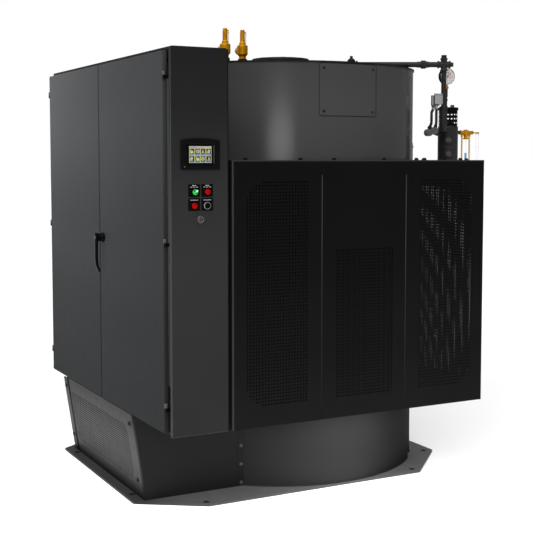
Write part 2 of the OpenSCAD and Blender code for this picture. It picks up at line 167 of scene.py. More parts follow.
# Front cover: painted shade, darker towards the top.
M_COVER = surf("cover_black_coat", (0.0074, 0.0074, 0.0075), var=0.06, scale=3.0, rough=(0.50, 0.60), bump=0.10, bscale=1600, bdist=0.0003, spec=0.03, painted_shade_stops=[(0.42, 0.80), (0.8, 0.58), (1.2, 0.40), (1.6, 0.36)])
M_CABIN = surf("cabinet_dark_coat", (0.010, 0.010, 0.0105), var=0.08, scale=2.5, rough=(0.48, 0.58), bump=0.10, bscale=1500, bdist=0.0003, spec=0.08)
# Jacket: painted shade, darker towards the top.
M_JACKET = surf("jacket_satin_paint", (0.0540, 0.0540, 0.0540), var=0.04, scale=1.6, rough=(0.15, 0.18), rscale=6, bump=0.03, bscale=900, bdist=0.0003, spec=0.28, stretch=(1, 1, 0.35), painted_shade_stops=[(1.58, 1.0), (1.78, 0.94), (2.07, 0.78)])
# Skirt: painted shade, darker towards the top under the cover.
M_SKIRT = surf("skirt_flat_paint", (0.0235, 0.0235, 0.0235), var=0.06, scale=2.4, rough=(0.66, 0.74), bump=0.10, bscale=1100, bdist=0.0004, spec=0.02, painted_shade_stops=[(0.02, 1.0), (0.22, 0.95), (0.42, 0.62)])
M_LIP = surf("lip_dark_paint", (0.008, 0.008, 0.008), var=0.08, scale=4.0, rough=(0.45, 0.55), bump=0.10, bscale=1500, bdist=0.0003, spec=0.10)
# Paler copy of the cover coat for its rim strips: painted highlight.
M_COVER_RIM_HIGHLIGHT = surf("cover_rim_painted_highlight", (0.024, 0.024, 0.024), var=0.10, scale=6.0, rough=(0.40, 0.50), bump=0.10, bscale=1500, bdist=0.0003, spec=0.15)
# Pale rod material for the panel's left edge: painted highlight.
M_PAINTED_EDGE_LINE = surf("panel_edge_painted_highlight", (0.045, 0.045, 0.045), var=0.12, scale=9.0, rough=(0.30, 0.40), bump=0.05, bscale=1500, bdist=0.0003, spec=0.2)
# Floor plate: painted shade, darker towards the left end along X.
M_PLATE = surf("plate_grey_paint", (0.078, 0.078, 0.078), var=0.07, scale=2.0, rough=(0.46, 0.56), bump=0.12, bscale=1100, bdist=0.0004, spec=0.12, edge=0.30, painted_shade_stops=[(-1.30, 0.25), (-1.02, 0.28), (-0.90, 0.54), (-0.80, 0.66), (0.20, 0.90), (0.45, 1.0), (0.70, 1.0)], axis="X")
# Louvre sheet: painted shade, dark at the foot and darker towards the top.
M_LOUVRE = surf("louvre_grey_paint", (0.0420, 0.0420, 0.0420), var=0.05, scale=2.0, rough=(0.42, 0.50), bump=0.10, bscale=1100, bdist=0.0004, spec=0.05, edge=0.20, painted_shade_stops=[(0.01, 0.14), (0.055, 0.26), (0.12, 0.85), (0.20, 1.0), (0.28, 0.97), (0.36, 0.66), (0.42, 0.44)], painted_shade_blur=0.03)
M_IRON = surf("black_malleable_iron", (0.0090, 0.0090, 0.0095), var=0.22, scale=28, rough=(0.42, 0.58), rscale=60, bump=0.30, bscale=420, bdist=0.0008, spec=0.22, edge=0.22)
# Lighter copy of the black iron for the boss plugs: painted highlight.
M_IRON_PLUG_LIT = surf("iron_plug_painted_highlight", (0.026, 0.026, 0.026), var=0.2, scale=40, rough=(0.34, 0.48), bump=0.2, bscale=500, bdist=0.0005, spec=0.35, edge=0.3)
M_BRASS = surf("brass_bar", (0.40, 0.178, 0.003), var=0.12, scale=30, rough=(0.44, 0.55), rscale=70, bump=0.06, bscale=500, metal=0.55, spec=0.06, col2=(0.43, 0.20, 0.005), edge=0.2, edge_col=(0.60, 0.38, 0.06))
M_COPPER = surf("copper_outlet", (0.42, 0.24, 0.18), var=0.12, scale=40, rough=(0.40, 0.50), metal=0.4, bump=0.06, bscale=500, spec=0.3)
M_ROD = surf("tinned_brass_rod", (0.60, 0.44, 0.20), var=0.10, scale=60, rough=(0.34, 0.46), metal=0.55, bump=0.05, bscale=500)
M_LEVER = surf("pale_lever", (0.70, 0.69, 0.60), var=0.08, scale=60, rough=(0.40, 0.50), bump=0.05, bscale=500, spec=0.3)
M_CAST = surf("grey_cast_alloy", (0.25, 0.25, 0.25), var=0.10, scale=30, rough=(0.45, 0.58), bump=0.25, bscale=600, bdist=0.0005, spec=0.2, edge=0.15)
M_HUB = surf("dark_cast_alloy", (0.060, 0.060, 0.062), var=0.15, scale=30, rough=(0.38, 0.55), bump=0.25, bscale=600, bdist=0.0005, spec=0.3, edge=0.25)
M_HORN = surf("horn_plastic", (0.026, 0.026, 0.026), var=0.15, scale=60, rough=(0.18, 0.26), bump=0.10, bscale=900, spec=0.6, edge=0.4)
M_ZINC = surf("zinc_sheet", (0.34, 0.345, 0.35), var=0.07, scale=34, rough=(0.36, 0.46), metal=0.8, bump=0.05, bscale=300, spec=0.3)
M_SCREW = surf("black_oxide_screw", (0.005, 0.005, 0.005), var=0.25, scale=90, rough=(0.36, 0.50), bump=0.08, bscale=900, spec=0.14, edge=0.2)
M_PLASTIC = surf("black_moulded_plastic", (0.0030, 0.0030, 0.0030), var=0.15, scale=40, rough=(0.34, 0.44), bump=0.08, bscale=1400, bdist=0.0003, spec=0.035, edge=0.25, edge_col=(0.022, 0.022, 0.022))
M_GLOSS = surf("black_gloss_plastic", (0.0018, 0.0018, 0.0018), var=0.12, scale=25, rough=(0.18, 0.26), bump=0.03, bscale=600, spec=0.04)
M_RUBBER = surf("gasket_rubber", (0.012, 0.012, 0.012), var=0.2, scale=60, rough=(0.70, 0.85), bump=0.25, bscale=900)
M_RED = surf("red_lens", (0.27, 0.0004, 0.0004), var=0.10, scale=90, rough=(0.20, 0.30), bump=0.08, bscale=420, emit=0.35, spec=0.03)
# The knob glows faintly by emission though it is no lamp: painted light.
M_GREEN = surf("green_knob", (0.012, 0.36, 0.05), var=0.12, scale=90, rough=(0.22, 0.32), bump=0.06, bscale=500, emit=0.5, spec=0.05)
M_PALE = surf("pale_mark", (0.72, 0.72, 0.70), var=0.05, scale=90, rough=(0.35, 0.45), bump=0.03, bscale=900)
M_RING = surf("grey_ring", (0.42, 0.42, 0.42), var=0.10, scale=80, rough=(0.26, 0.36), metal=0.35, bump=0.05, bscale=600, spec=0.3)
M_DIAL = surf("dial_white", (0.56, 0.55, 0.54), var=0.04, scale=40, rough=(0.45, 0.55), bump=0.02, bscale=800, spec=0.2)
M_DIALRED = surf("dial_red", (0.62, 0.05, 0.02), var=0.08, scale=70, rough=(0.45, 0.55), bump=0.02, bscale=800)
M_DIALBLK = surf("dial_black", (0.012, 0.012, 0.012), var=0.12, scale=70, rough=(0.40, 0.50), bump=0.02, bscale=800)
M_GLASS = surf("clear_glass", (0.80, 0.84, 0.86), var=0.02, scale=14, rough=(0.05, 0.08), bump=0.01, bscale=60, spec=0.2, alpha=0.06)
M_EDGE = surf("clear_edge", (0.62, 0.62, 0.62), var=0.25, scale=260, rough=(0.3, 0.4), bump=0.02, bscale=300, spec=0.2, alpha=0.30)
# The water glows faintly by emission though it is no lamp: painted light.
M_WATER = surf("blue_water", (0.010, 0.19, 0.42), var=0.10, scale=24, rough=(0.08, 0.14), bump=0.02, bscale=80, emit=0.4, spec=0.1)
M_SCREEN = surf("screen_glass", (0.13, 0.13, 0.07), var=0.10, scale=50, rough=(0.14, 0.20), bump=0.01, bscale=300, emit=0.3, spec=0.05)
M_TILE = surf("screen_tile", (0.34, 0.33, 0.12), var=0.14, scale=160, rough=(0.2, 0.3), bump=0.01, bscale=300, emit=0.35, spec=0.05)
M_TILEBLUE = surf("screen_blue", (0.10, 0.19, 0.38), var=0.14, scale=160, rough=(0.2, 0.3), bump=0.01, bscale=300, emit=0.35, spec=0.05)
M_TILEPALE = surf("screen_pale", (0.36, 0.35, 0.30), var=0.10, scale=160, rough=(0.2, 0.3), bump=0.01, bscale=300, emit=0.3, spec=0.05)
M_LILAC = surf("screen_lilac", (0.34, 0.27, 0.31), var=0.12, scale=160, rough=(0.2, 0.3), bump=0.01, bscale=300, emit=0.35, spec=0.05)
M_OLIVE = surf("screen_olive", (0.15, 0.15, 0.05), var=0.2, scale=160, rough=(0.2, 0.3), bump=0.01, bscale=300, emit=0.5, spec=0.1)
M_TILEDARK = surf("screen_dark", (0.016, 0.018, 0.034), var=0.20, scale=160, rough=(0.2, 0.3), bump=0.01, bscale=300, spec=0.1)
M_FLOOR = surf("pale_floor", (0.92, 0.92, 0.92), var=0.004, scale=0.8, rough=(0.85, 0.92), bump=0.01, bscale=200, spec=0.1)
# Flat black for holes, recesses and the backs of slots and perforations: painted shade.
M_SHADE_BLACK = surf("painted_shade_black", (0.004, 0.004, 0.004), var=0.3, scale=20, rough=(0.8, 0.9), bump=0.05, bscale=300, spec=0.1)


# ---------------------------------------------------------------- mesh tools (millimetres)
class Build:
    """Collects closed shells, in millimetres in the row frame, for one piece."""

    def __init__(self):
        self.v, self.f, self.m = [], [], []

    def add(self, shell, mat=0, xf=None):
        verts, faces = shell
        base = len(self.v)
        if xf is not None:
            verts = [xf @ Vector(q) for q in verts]
        self.v.extend(tuple(q) for q in verts)
        self.f.extend(tuple(i + base for i in f) for f in faces)
        self.m.extend([mat] * len(faces))
        return self


def make(name, b, mats, body="boiler", replaces=(), angle=35.0):
    me = bpy.data.meshes.new(name)
    me.from_pydata([(x * 0.001, y * 0.001, z * 0.001) for x, y, z in b.v], [], b.f)
    for m in mats:
        me.materials.append(m)
    me.polygons.foreach_set("material_index", b.m)
    bm = bmesh.new()
    bm.from_mesh(me)
    bmesh.ops.recalc_face_normals(bm, faces=bm.faces)
    for f in bm.faces:
        f.smooth = True
    bm.to_mesh(me)
    bm.free()
    me.set_sharp_from_angle(angle=math.radians(angle))
    o = bpy.data.objects.new(name, me)
    bpy.context.scene.collection.objects.link(o)
    # broad faces keep their own normals beside eased rims
    md = o.modifiers.new("broad_faces", "WEIGHTED_NORMAL")
    md.keep_sharp = True
    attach(o, body)
    if replaces:
        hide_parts(*replaces)
    return o


def soften(prof, rad, k=3):
    """Rounds the inner corners of a polyline."""
    out = [prof[0]]
    for a, q, c in zip(prof, prof[1:], prof[2:]):
        a, q, c = Vector(a), Vector(q), Vector(c)
        la, lc = (a - q).length, (c - q).length
        d = min(rad, 0.45 * la, 0.45 * lc)
        if d < 1e-4:
            out.append(tuple(q))
            continue
        s, e = q + (a - q) * (d / la), q + (c - q) * (d / lc)
        for i in range(k + 1):
            t = i / k
            out.append(tuple(s * (1 - t) ** 2 + q * (2 * t * (1 - t)) + e * t ** 2))
    out.append(prof[-1])
    return out


def lathe(prof, n=48, closed=False):
    verts, rings = [], []
    for r, z in prof:
        if r < 1e-6:
            rings.append([len(verts)])
            verts.append((0, 0, z))
        else:
            rings.append(list(range(len(verts), len(verts) + n)))
            verts += [(r * math.cos(TAU * k / n), r * math.sin(TAU * k / n), z) for k in range(n)]
    faces = []
    pairs = list(zip(rings, rings[1:]))
    if closed:
        pairs.append((rings[-1], rings[0]))
    for A, B in pairs:
        if len(A) == 1 and len(B) == 1:
            continue
        for k in range(n):
            if len(A) == 1:
                faces.append((A[0], B[k], B[(k + 1) % n]))
            elif len(B) == 1:
                faces.append((A[k], A[(k + 1) % n], B[0]))
            else:
                faces.append((A[k], A[(k + 1) % n], B[(k + 1) % n], B[k]))
    if not closed:
        for R in (rings[0], rings[-1]):
            if len(R) > 1:
                faces.append(tuple(R))
    return verts, faces


def rod(r, z0, z1, ch=0.8, n=32):
    """Round bar with eased ends."""
    ch = min(ch, r * 0.4, abs(z1 - z0) * 0.4)
    s = ch if z1 > z0 else -ch
    return lathe([(0, z0), (r - ch, z0), (r - ch * 0.3, z0 + s * 0.3), (r, z0 + s), (r, z1 - s), (r - ch * 0.3, z1 - s * 0.3), (r - ch, z1), (0, z1)], n)


def from_bm(bm):
    bm.verts.index_update()
    out = [tuple(v.co) for v in bm.verts], [tuple(v.index for v in f.verts) for f in bm.faces]
    bm.free()
    return out


def rbox(lo, hi, r=1.5, seg=2):
    bm = bmesh.new()
    bmesh.ops.create_cube(bm, size=1.0)
    for v in bm.verts:
        v.co = Vector([(lo[i] + hi[i]) / 2 + v.co[i] * (hi[i] - lo[i]) for i in range(3)])
    r = min(r, 0.45 * min(hi[i] - lo[i] for i in range(3)))
    if r > 0:
        bmesh.ops.bevel(bm, geom=list(bm.edges), offset=r, offset_type="OFFSET", segments=seg, profile=0.5, affect="EDGES", clamp_overlap=True)
    return from_bm(bm)


def prism(poly, z0, z1, r=0.0, seg=2):
    """Flat shape drawn up from z0 to z1, with eased rims."""
    bm = bmesh.new()
    low = [bm.verts.new((x, y, z0)) for x, y in poly]
    high = [bm.verts.new((x, y, z1)) for x, y in poly]
    n = len(poly)
    bm.faces.new(low[::-1])
    bm.faces.new(high)
    for i in range(n):
        bm.faces.new((low[i], low[(i + 1) % n], high[(i + 1) % n], high[i]))
    if r > 0:
        rims = [e for e in bm.edges if abs(e.verts[0].co.z - e.verts[1].co.z) < 1e-6]
        bmesh.ops.bevel(bm, geom=rims, offset=r, offset_type="OFFSET", segments=seg, profile=0.5, affect="EDGES", clamp_overlap=True)
    return from_bm(bm)


def ngon(r, n=6, a0=0.0):
    return [(r * math.cos(a0 + TAU * k / n), r * math.sin(a0 + TAU * k / n)) for k in range(n)]


def rrect(w, h, r, k=5):
    """Rounded rectangle about the origin."""
    out = []
    for cx, cy, a in ((w / 2 - r, h / 2 - r, 0), (-w / 2 + r, h / 2 - r, 90), (-w / 2 + r, -h / 2 + r, 180), (w / 2 - r, -h / 2 + r, 270)):
        for i in range(k + 1):
            t = math.radians(a + 90 * i / k)
            out.append((cx + r * math.cos(t), cy + r * math.sin(t)))
    return out


def ring_prism(outer, inner, z0, z1, ch=0.6):
    """Frame between two loops with the same number of points, with eased front rims."""
    n = len(outer)

    def pull(loop, d):
        out = []
        for i in range(n):
            a, q, c = Vector(loop[i - 1]), Vector(loop[i]), Vector(loop[(i + 1) % n])
            t = (c - a).normalized()
            out.append((q.x - t.y * d, q.y + t.x * d))
        return out

    loops = [(outer, z0), (outer, z1 - ch), (pull(outer, ch), z1), (pull(inner, -ch), z1), (inner, z1 - ch), (inner, z0)]
    verts = [(x, y, z) for loop, z in loops for x, y in loop]
    faces = []
    for s in range(len(loops)):
        a, b = s * n, ((s + 1) % len(loops)) * n
        for i in range(n):
            j = (i + 1) % n
            faces.append((a + i, a + j, b + j, b + i))
    return verts, faces


def sweep(path, sect, closed=False, scales=None):
    """Section, a list of (u, v), carried along a path, capped at both ends."""
    pts = [Vector(p) for p in path]
    n, k = len(pts), len(sect)
    tang = []
    for i in range(n):
        a = pts[i - 1] if (i > 0 or closed) else pts[i]
        c = pts[(i + 1) % n] if (i < n - 1 or closed) else pts[i]
        tang.append((c - a).normalized())
    ref = Vector((0, 1, 0)) if abs(tang[0].y) < 0.9 else Vector((1, 0, 0))
    u = (ref - tang[0] * ref.dot(tang[0])).normalized()
    verts = []
    for i in range(n):
        u = (u - tang[i] * u.dot(tang[i])).normalized()
        w = tang[i].cross(u)
        s = scales[i] if scales else 1.0
        verts += [tuple(pts[i] + u * (a * s) + w * (b * s)) for a, b in sect]
    faces = []
    for i in range(n if closed else n - 1):
        a, b = i * k, ((i + 1) % n) * k
        for j in range(k):
            faces.append((a + j, a + (j + 1) % k, b + (j + 1) % k, b + j))
    if not closed:
        faces.append(tuple(range(k)))
        faces.append(tuple(range((n - 1) * k, n * k)))
    return verts, faces


def tube(path, r, n=16, closed=False):
    return sweep(path, ngon(r, n), closed)


def along(o, d, spin=0.0):
    """Places a shell drawn along +Z at point o, pointing along d."""
    return Matrix.Translation(o) @ Vector(d).to_track_quat("Z", "Y").to_matrix().to_4x4() @ Matrix.Rotation(spin, 4, "Z")


def at(x, y, z):
    return Matrix.Translation((x, y, z))


def button_screw(b, o, d, r=8.0, h=5.0, mat=0, dark=1):
    """Button-head socket screw."""
    xf = along(o, d)
    b.add(lathe([(0, -0.4), (r, -0.4), (r, h * 0.25), (r * 0.93, h * 0.55), (r * 0.75, h * 0.85), (r * 0.5, h), (r * 0.40, h), (r * 0.36, h * 0.45), (0, h * 0.45)], 24), mat, xf)
    # Thin disc at the bottom of the socket in the dark slot; where black is given it is painted shade in the recess.
    b.add(prism(ngon(r * 0.30), h * 0.45, h * 0.47), dark, xf)


def hex_bolt(b, o, d, r=8.0, h=6.0, mat=0, spin=0.3):
    """Flanged hex head."""
    xf = along(o, d, spin)
    b.add(lathe(soften([(0, -0.4), (r * 1.45, -0.4), (r * 1.45, h * 0.15), (r * 1.05, h * 0.4), (0, h * 0.4)], 0.6, 2), 24), mat, xf)
    b.add(prism(ngon(r), h * 0.3, h, 0.9, 2), mat, xf)


def perf(place, u, v, hole, thick, rad, ch=1.2, wrap=False):
    """Sheet with a round through hole in every chosen cell of a grid of lines u, v."""
    b = Build()
    nu, nv = len(u) - 1, len(v) - 1
    idx = {}
    H = [[bool(hole(i, j)) for j in range(nv)] for i in range(nu)]

    def is_h(i, j):
        if wrap:
            i %= nu
        return 0 <= i < nu and 0 <= j < nv and H[i][j]

    def pt(key, uu, vv, d):
        if wrap and key[1] in "cv" and key[2] == nu:
            key = (key[0], key[1], 0, key[3])
        if key not in idx:
            idx[key] = len(b.v)
            b.v.append(place(uu, vv, d))
        return idx[key]

    def line(a, i, n, side, inset):
        if side or not inset:
            return a[i]
        return a[i] + (ch if i == 0 else -ch if i == n else 0)

    for side, d in ((0, 0.0), (1, thick)):
        for i in range(nu):
            for j in range(nv):
                u0, u1 = line(u, i, nu, side, not wrap), line(u, i + 1, nu, side, not wrap)
                v0, v1 = line(v, j, nv, side, True), line(v, j + 1, nv, side, True)
                um, vm = (u0 + u1) / 2, (v0 + v1) / 2
                me = H[i][j]
                loop = [pt((side, "c", i, j), u0, v0, d)]
                if me or is_h(i, j - 1):
                    loop.append(pt((side, "h", i, j), um, v0, d))
                loop.append(pt((side, "c", i + 1, j), u1, v0, d))
                if me or is_h(i + 1, j):
                    loop.append(pt((side, "v", i + 1, j), u1, vm, d))
                loop.append(pt((side, "c", i + 1, j + 1), u1, v1, d))
                if me or is_h(i, j + 1):
                    loop.append(pt((side, "h", i, j + 1), um, v1, d))
                loop.append(pt((side, "c", i, j + 1), u0, v1, d))
                if me or is_h(i - 1, j):
                    loop.append(pt((side, "v", i, j), u0, vm, d))
                if not me:
                    b.f.append(tuple(loop))
                    continue
                ring = []
                for k in range(8):
                    a = math.radians(225 + 45 * k)
                    ring.append(pt((side, "o", (i, j), k), um + rad * math.cos(a), vm + rad * math.sin(a), d))
                for k in range(8):
                    q = (k + 1) % 8
                    b.f.append((loop[k], loop[q], ring[q], ring[k]))
                    if side:
                        f0, f1 = idx[(0, "o", (i, j), k)], idx[(0, "o", (i, j), q)]
                        b.f.append((f0, f1, ring[q], ring[k]))
    walk = [("c", i, 0) for i in range(nu)] + [("c", nu, j) for j in range(nv)] + [("c", i, nv) for i in range(nu, 0, -1)] + [("c", 0, j) for j in range(nv, 0, -1)]
    runs = [(walk[k], walk[(k + 1) % len(walk)]) for k in range(len(walk))]
    for A, B in runs:
        if wrap and A[1] in (0, nu) and B[1] in (0, nu) and A[1] == B[1]:
            continue
        ids = []
        for q in (A, B):
            i, j = q[1], q[2]
            w = i % nu if wrap else i
            m = ("r", w, j)
            if m not in idx:
                idx[m] = len(b.v)
                b.v.append(place(u[i], v[j], ch))
            ids.append((idx[(0, "c", w, j)], idx[m], idx[(1, "c", w, j)]))
        (a0, a1, a2), (c0, c1, c2) = ids
        b.f.append((a0, c0, c1, a1))
        b.f.append((a1, c1, c2, a2))
    b.m = [0] * len(b.f)
    return b


def cells(first, last, n, lo, hi):
    """Grid lines for n holes with centres from first to last, with one margin cell at each end."""
    p = (last - first) / (n - 1)
    return [lo] + [first - p / 2 + p * k for k in range(n + 1)] + [hi]


def finish_cad(names, mat, bevel=0.0, seg=2):
    for n in names:
        o = NODES[n]
        o.data.materials.clear()
        o.data.materials.append(mat)
        if bevel:
            md = o.modifiers.new("eased", "BEVEL")
            md.width = bevel * 0.001
            md.segments = seg
            md.limit_method = "ANGLE"
            md.angle_limit = math.radians(40)
            md.harden_normals = True


# ---------------------------------------------------------------- vessel: jacket, skirt, panels
def shell_ring(r, t, z0, z1, ch, n=288):
    return lathe([(r - t, z0), (r - ch, z0), (r - ch * 0.3, z0 + ch * 0.3), (r, z0 + ch), (r, z1 - ch), (r - ch * 0.3, z1 - ch * 0.3), (r - ch, z1), (r - t, z1)], n, closed=True)


b = Build()
b.add(shell_ring(724, 20, 420.4, 2065.8, 1.5))
for a in (90,):
    s = math.radians(a)
    # overlapped lengthwise seam of the wrap, with its rivets, on the far side
    arc = [math.radians(a - 1.6 + 0.2 * k) for k in range(17)]
    outer = [(725.2 * math.cos(q), 725.2 * math.sin(q)) for q in arc]
    inner = [(723.2 * math.cos(q), 723.2 * math.sin(q)) for q in reversed(arc)]
    b.add(prism(outer + inner, 424, 2062, 0.3, 1))
    for k in range(17):
        z = 470 + 96 * k
        b.add(lathe([(0, -1), (4.5, -1), (4.3, 0.6), (3.0, 1.6), (0, 2.0)], 16), 0, along((725 * math.cos(s), 725 * math.sin(s), z), (math.cos(s), math.sin(s), 0)))
make("jacket_wrap", b, [M_JACKET], replaces=("jacket_front", "jacket_right", "jacket_rear", "jacket_left"))


def skirt_shell():
    r0, r1 = 702.0, 722.0
    mid, half = math.radians(-39.5), 52.0
    n = 240
    d1 = math.asin(half / r1)
    stops = [mid + d1 + (TAU - 2 * d1) * k / n for k in range(n + 1)]
    inside = [mid - d1 + 2 * d1 * k / 6 for k in range(1, 6)]
    angs = stops + inside
    m = len(angs)
    verts, faces = [], []
    levels = (10.2, 62.0, 419.0, 420.0)
    for q in angs:
        for r in (r0, r1):
            for z in levels:
                rr = r - 1.0 if (z == 420.0 and r == r1) else r
                verts.append((rr * math.cos(q), rr * math.sin(q), z))

    def vid(i, r, l):
        return (i % m) * 8 + r * 4 + l

    for i in range(m):
        j = (i + 1) % m
        cut = i >= n
        for l in range(3):
            if cut and l == 0:
                continue
            faces.append((vid(i, 1, l), vid(j, 1, l), vid(j, 1, l + 1), vid(i, 1, l + 1)))
            faces.append((vid(i, 0, l), vid(j, 0, l), vid(j, 0, l + 1), vid(i, 0, l + 1)))
        low = 1 if cut else 0
        faces.append((vid(i, 0, low), vid(j, 0, low), vid(j, 1, low), vid(i, 1, low)))
        faces.append((vid(i, 0, 3), vid(j, 0, 3), vid(j, 1, 3), vid(i, 1, 3)))
    for i in (0, n):
        faces.append((vid(i, 0, 0), vid(i, 1, 0), vid(i, 1, 1), vid(i, 0, 1)))
    used = sorted({k for f in faces for k in f})
    remap = {k: i for i, k in enumerate(used)}
    return [verts[k] for k in used], [tuple(remap[k] for k in f) for f in faces]


b = Build()
b.add(skirt_shell())
# weld bead between skirt and floor plate
gap0, gap1 = math.radians(-39.5) + 0.078, math.radians(-39.5) + TAU - 0.078
b.add(tube([(722.5 * math.cos(gap0 + (gap1 - gap0) * k / 200), 722.5 * math.sin(gap0 + (gap1 - gap0) * k / 200), 11.5) for k in range(201)], 3.0, 8))
make("skirt_wrap", b, [M_SKIRT], replaces=("skirt_front", "skirt_right", "skirt_foot", "skirt_rear"))


def curved_panel(r0, r1, a0, a1, z0, z1, rc):
    """Thin panel that follows the jacket, with rounded corners."""
    L = math.radians(a1 - a0) * r1
    s = [rc * (1 - math.cos(math.radians(90 * k / 6))) for k in range(7)]
    n = 24
    s += [rc + (L - 2 * rc) * k / n for k in range(1, n)]
    s += [L - rc * (1 - math.cos(math.radians(90 * k / 6))) for k in range(6, -1, -1)]

    def inset(x):
        e = min(x, L - x)
        if e >= rc:
            return 0.0
        return rc - math.sqrt(max(0.0, rc * rc - (rc - e) ** 2))

    verts, faces = [], []
    for x in s:
        t = math.radians(a0) + x / r1
        i = inset(x)
        for r in (r0, r1):
            for z in (z0 + i, z1 - i):
                verts.append((r * math.cos(t), r * math.sin(t), z))
    m = len(s)
    for k in range(m - 1):
        p, q = 4 * k, 4 * (k + 1)
        faces += [(p + 2, q + 2, q + 3, p + 3), (p, q, q + 1, p + 1), (p + 1, q + 1, q + 3, p + 3), (p, q, q + 2, p + 2)]
    faces += [(0, 1, 3, 2), tuple(4 * (m - 1) + k for k in (0, 1, 3, 2))]
    return verts, faces


def on_jacket(a, z, r):
    t = math.radians(a)
    return (r * math.cos(t), r * math.sin(t), z), (math.cos(t), math.sin(t), 0)


b = Build()
b.add(curved_panel(724.2, 727, -102.3, -76.9, 1812, 2060, 10))
# Dark strip a little wider than the lid: painted shade of the gap round its edge.
b.add(curved_panel(723.4, 724.5, -102.5, -76.35, 1808.6, 2064.2, 13), 2)
for a in (-100.6, -78.6):
    for z in (1833, 2039):
        o, d = on_jacket(a, z, 727)
        button_screw(b, o, d, 6.5, 4.0, 1, 1)
make("access_panel_lid", b, [M_JACKET, M_SCREW, M_LIP], replaces=("access_panel",))
b = Build()
b.add(curved_panel(724.2, 727, -33.5, -7, 1410, 1690, 10))
# Dark strip a little wider than the lid: painted shade of the gap round its edge.
b.add(curved_panel(723.4, 724.5, -33.7, -6.5, 1406.6, 1693.6, 13), 2)
for a in (-31.8, -8.7):
    for z in (1431, 1669):
        o, d = on_jacket(a, z, 727)
        button_screw(b, o, d, 6.5, 4.0, 1, 1)
make("side_panel_lid", b, [M_JACKET, M_SCREW, M_LIP], replaces=("side_panel",))

# blind-flanged nozzle on the vessel top
b = Build()
noz = at(12, -6, 0)
b.add(lathe(soften([(0, 2072), (118, 2072), (112, 2080), (112, 2109), (153, 2110), (153, 2124.6), (120, 2124.8), (0, 2124.8)], 2.0), 96), 0, noz)
b.add(lathe(soften([(0, 2125.4), (153, 2125.4), (153, 2140), (118, 2140), (116, 2140.6), (0, 2140.6)], 2.0), 96), 0, noz)
for k in range(8):
    t = TAU * (k + 0.5) / 8
    x, y = 12 + 134 * math.cos(t), -6 + 134 * math.sin(t)
    b.add(lathe(soften([(0, 2139.6), (15, 2139.6), (15, 2140.9), (0, 2140.9)], 0.4), 32), 1, at(x, y, 0))
    # Thin black hexagon on each washer: painted shade for the hollow at the bolt end.
    b.add(prism(ngon(7.5, 6, t), 2140.7, 2141.1), 2, at(x, y, 0))
    hex_bolt(b, (x, y, 2110), (0, 0, -1), 12, 9, 1)
make("top_nozzle_flange", b, [M_IRON, M_SCREW, M_SHADE_BLACK], replaces=("top_nozzle",))
finish_cad(["top_plate"], M_LIP, 1.2)

# ---------------------------------------------------------------- floor plate and pedestal
finish_cad(["base_plate"], M_PLATE, 1.6, 3)
# Black discs sunk in the anchor holes: painted shade, so that the holes read dark.
b = Build()
for x, y in ((-1012, 420), (-746, 688), (417, 688), (680, 424)):
    for sgn in (-1, 1):
        b.add(lathe([(0, 0.4), (16.2, 0.4), (16.2, 7.4), (15.2, 7.8), (13.0, 7.0), (0, 6.6)], 32), 0, at(x, sgn * y, 0))
make("anchor_hole_shade", b, [M_SHADE_BLACK])
finish_cad(["pedestal_front_wall", "pedestal_rear_wall", "pedestal_deck"], M_CABIN, 1.2)
LL = math.hypot(60, 406)


def lean(y, s, d):
    return (-997 - 60 * s / LL + 406 / LL * d, y, 10 + 406 * s / LL + 60 / LL * d)


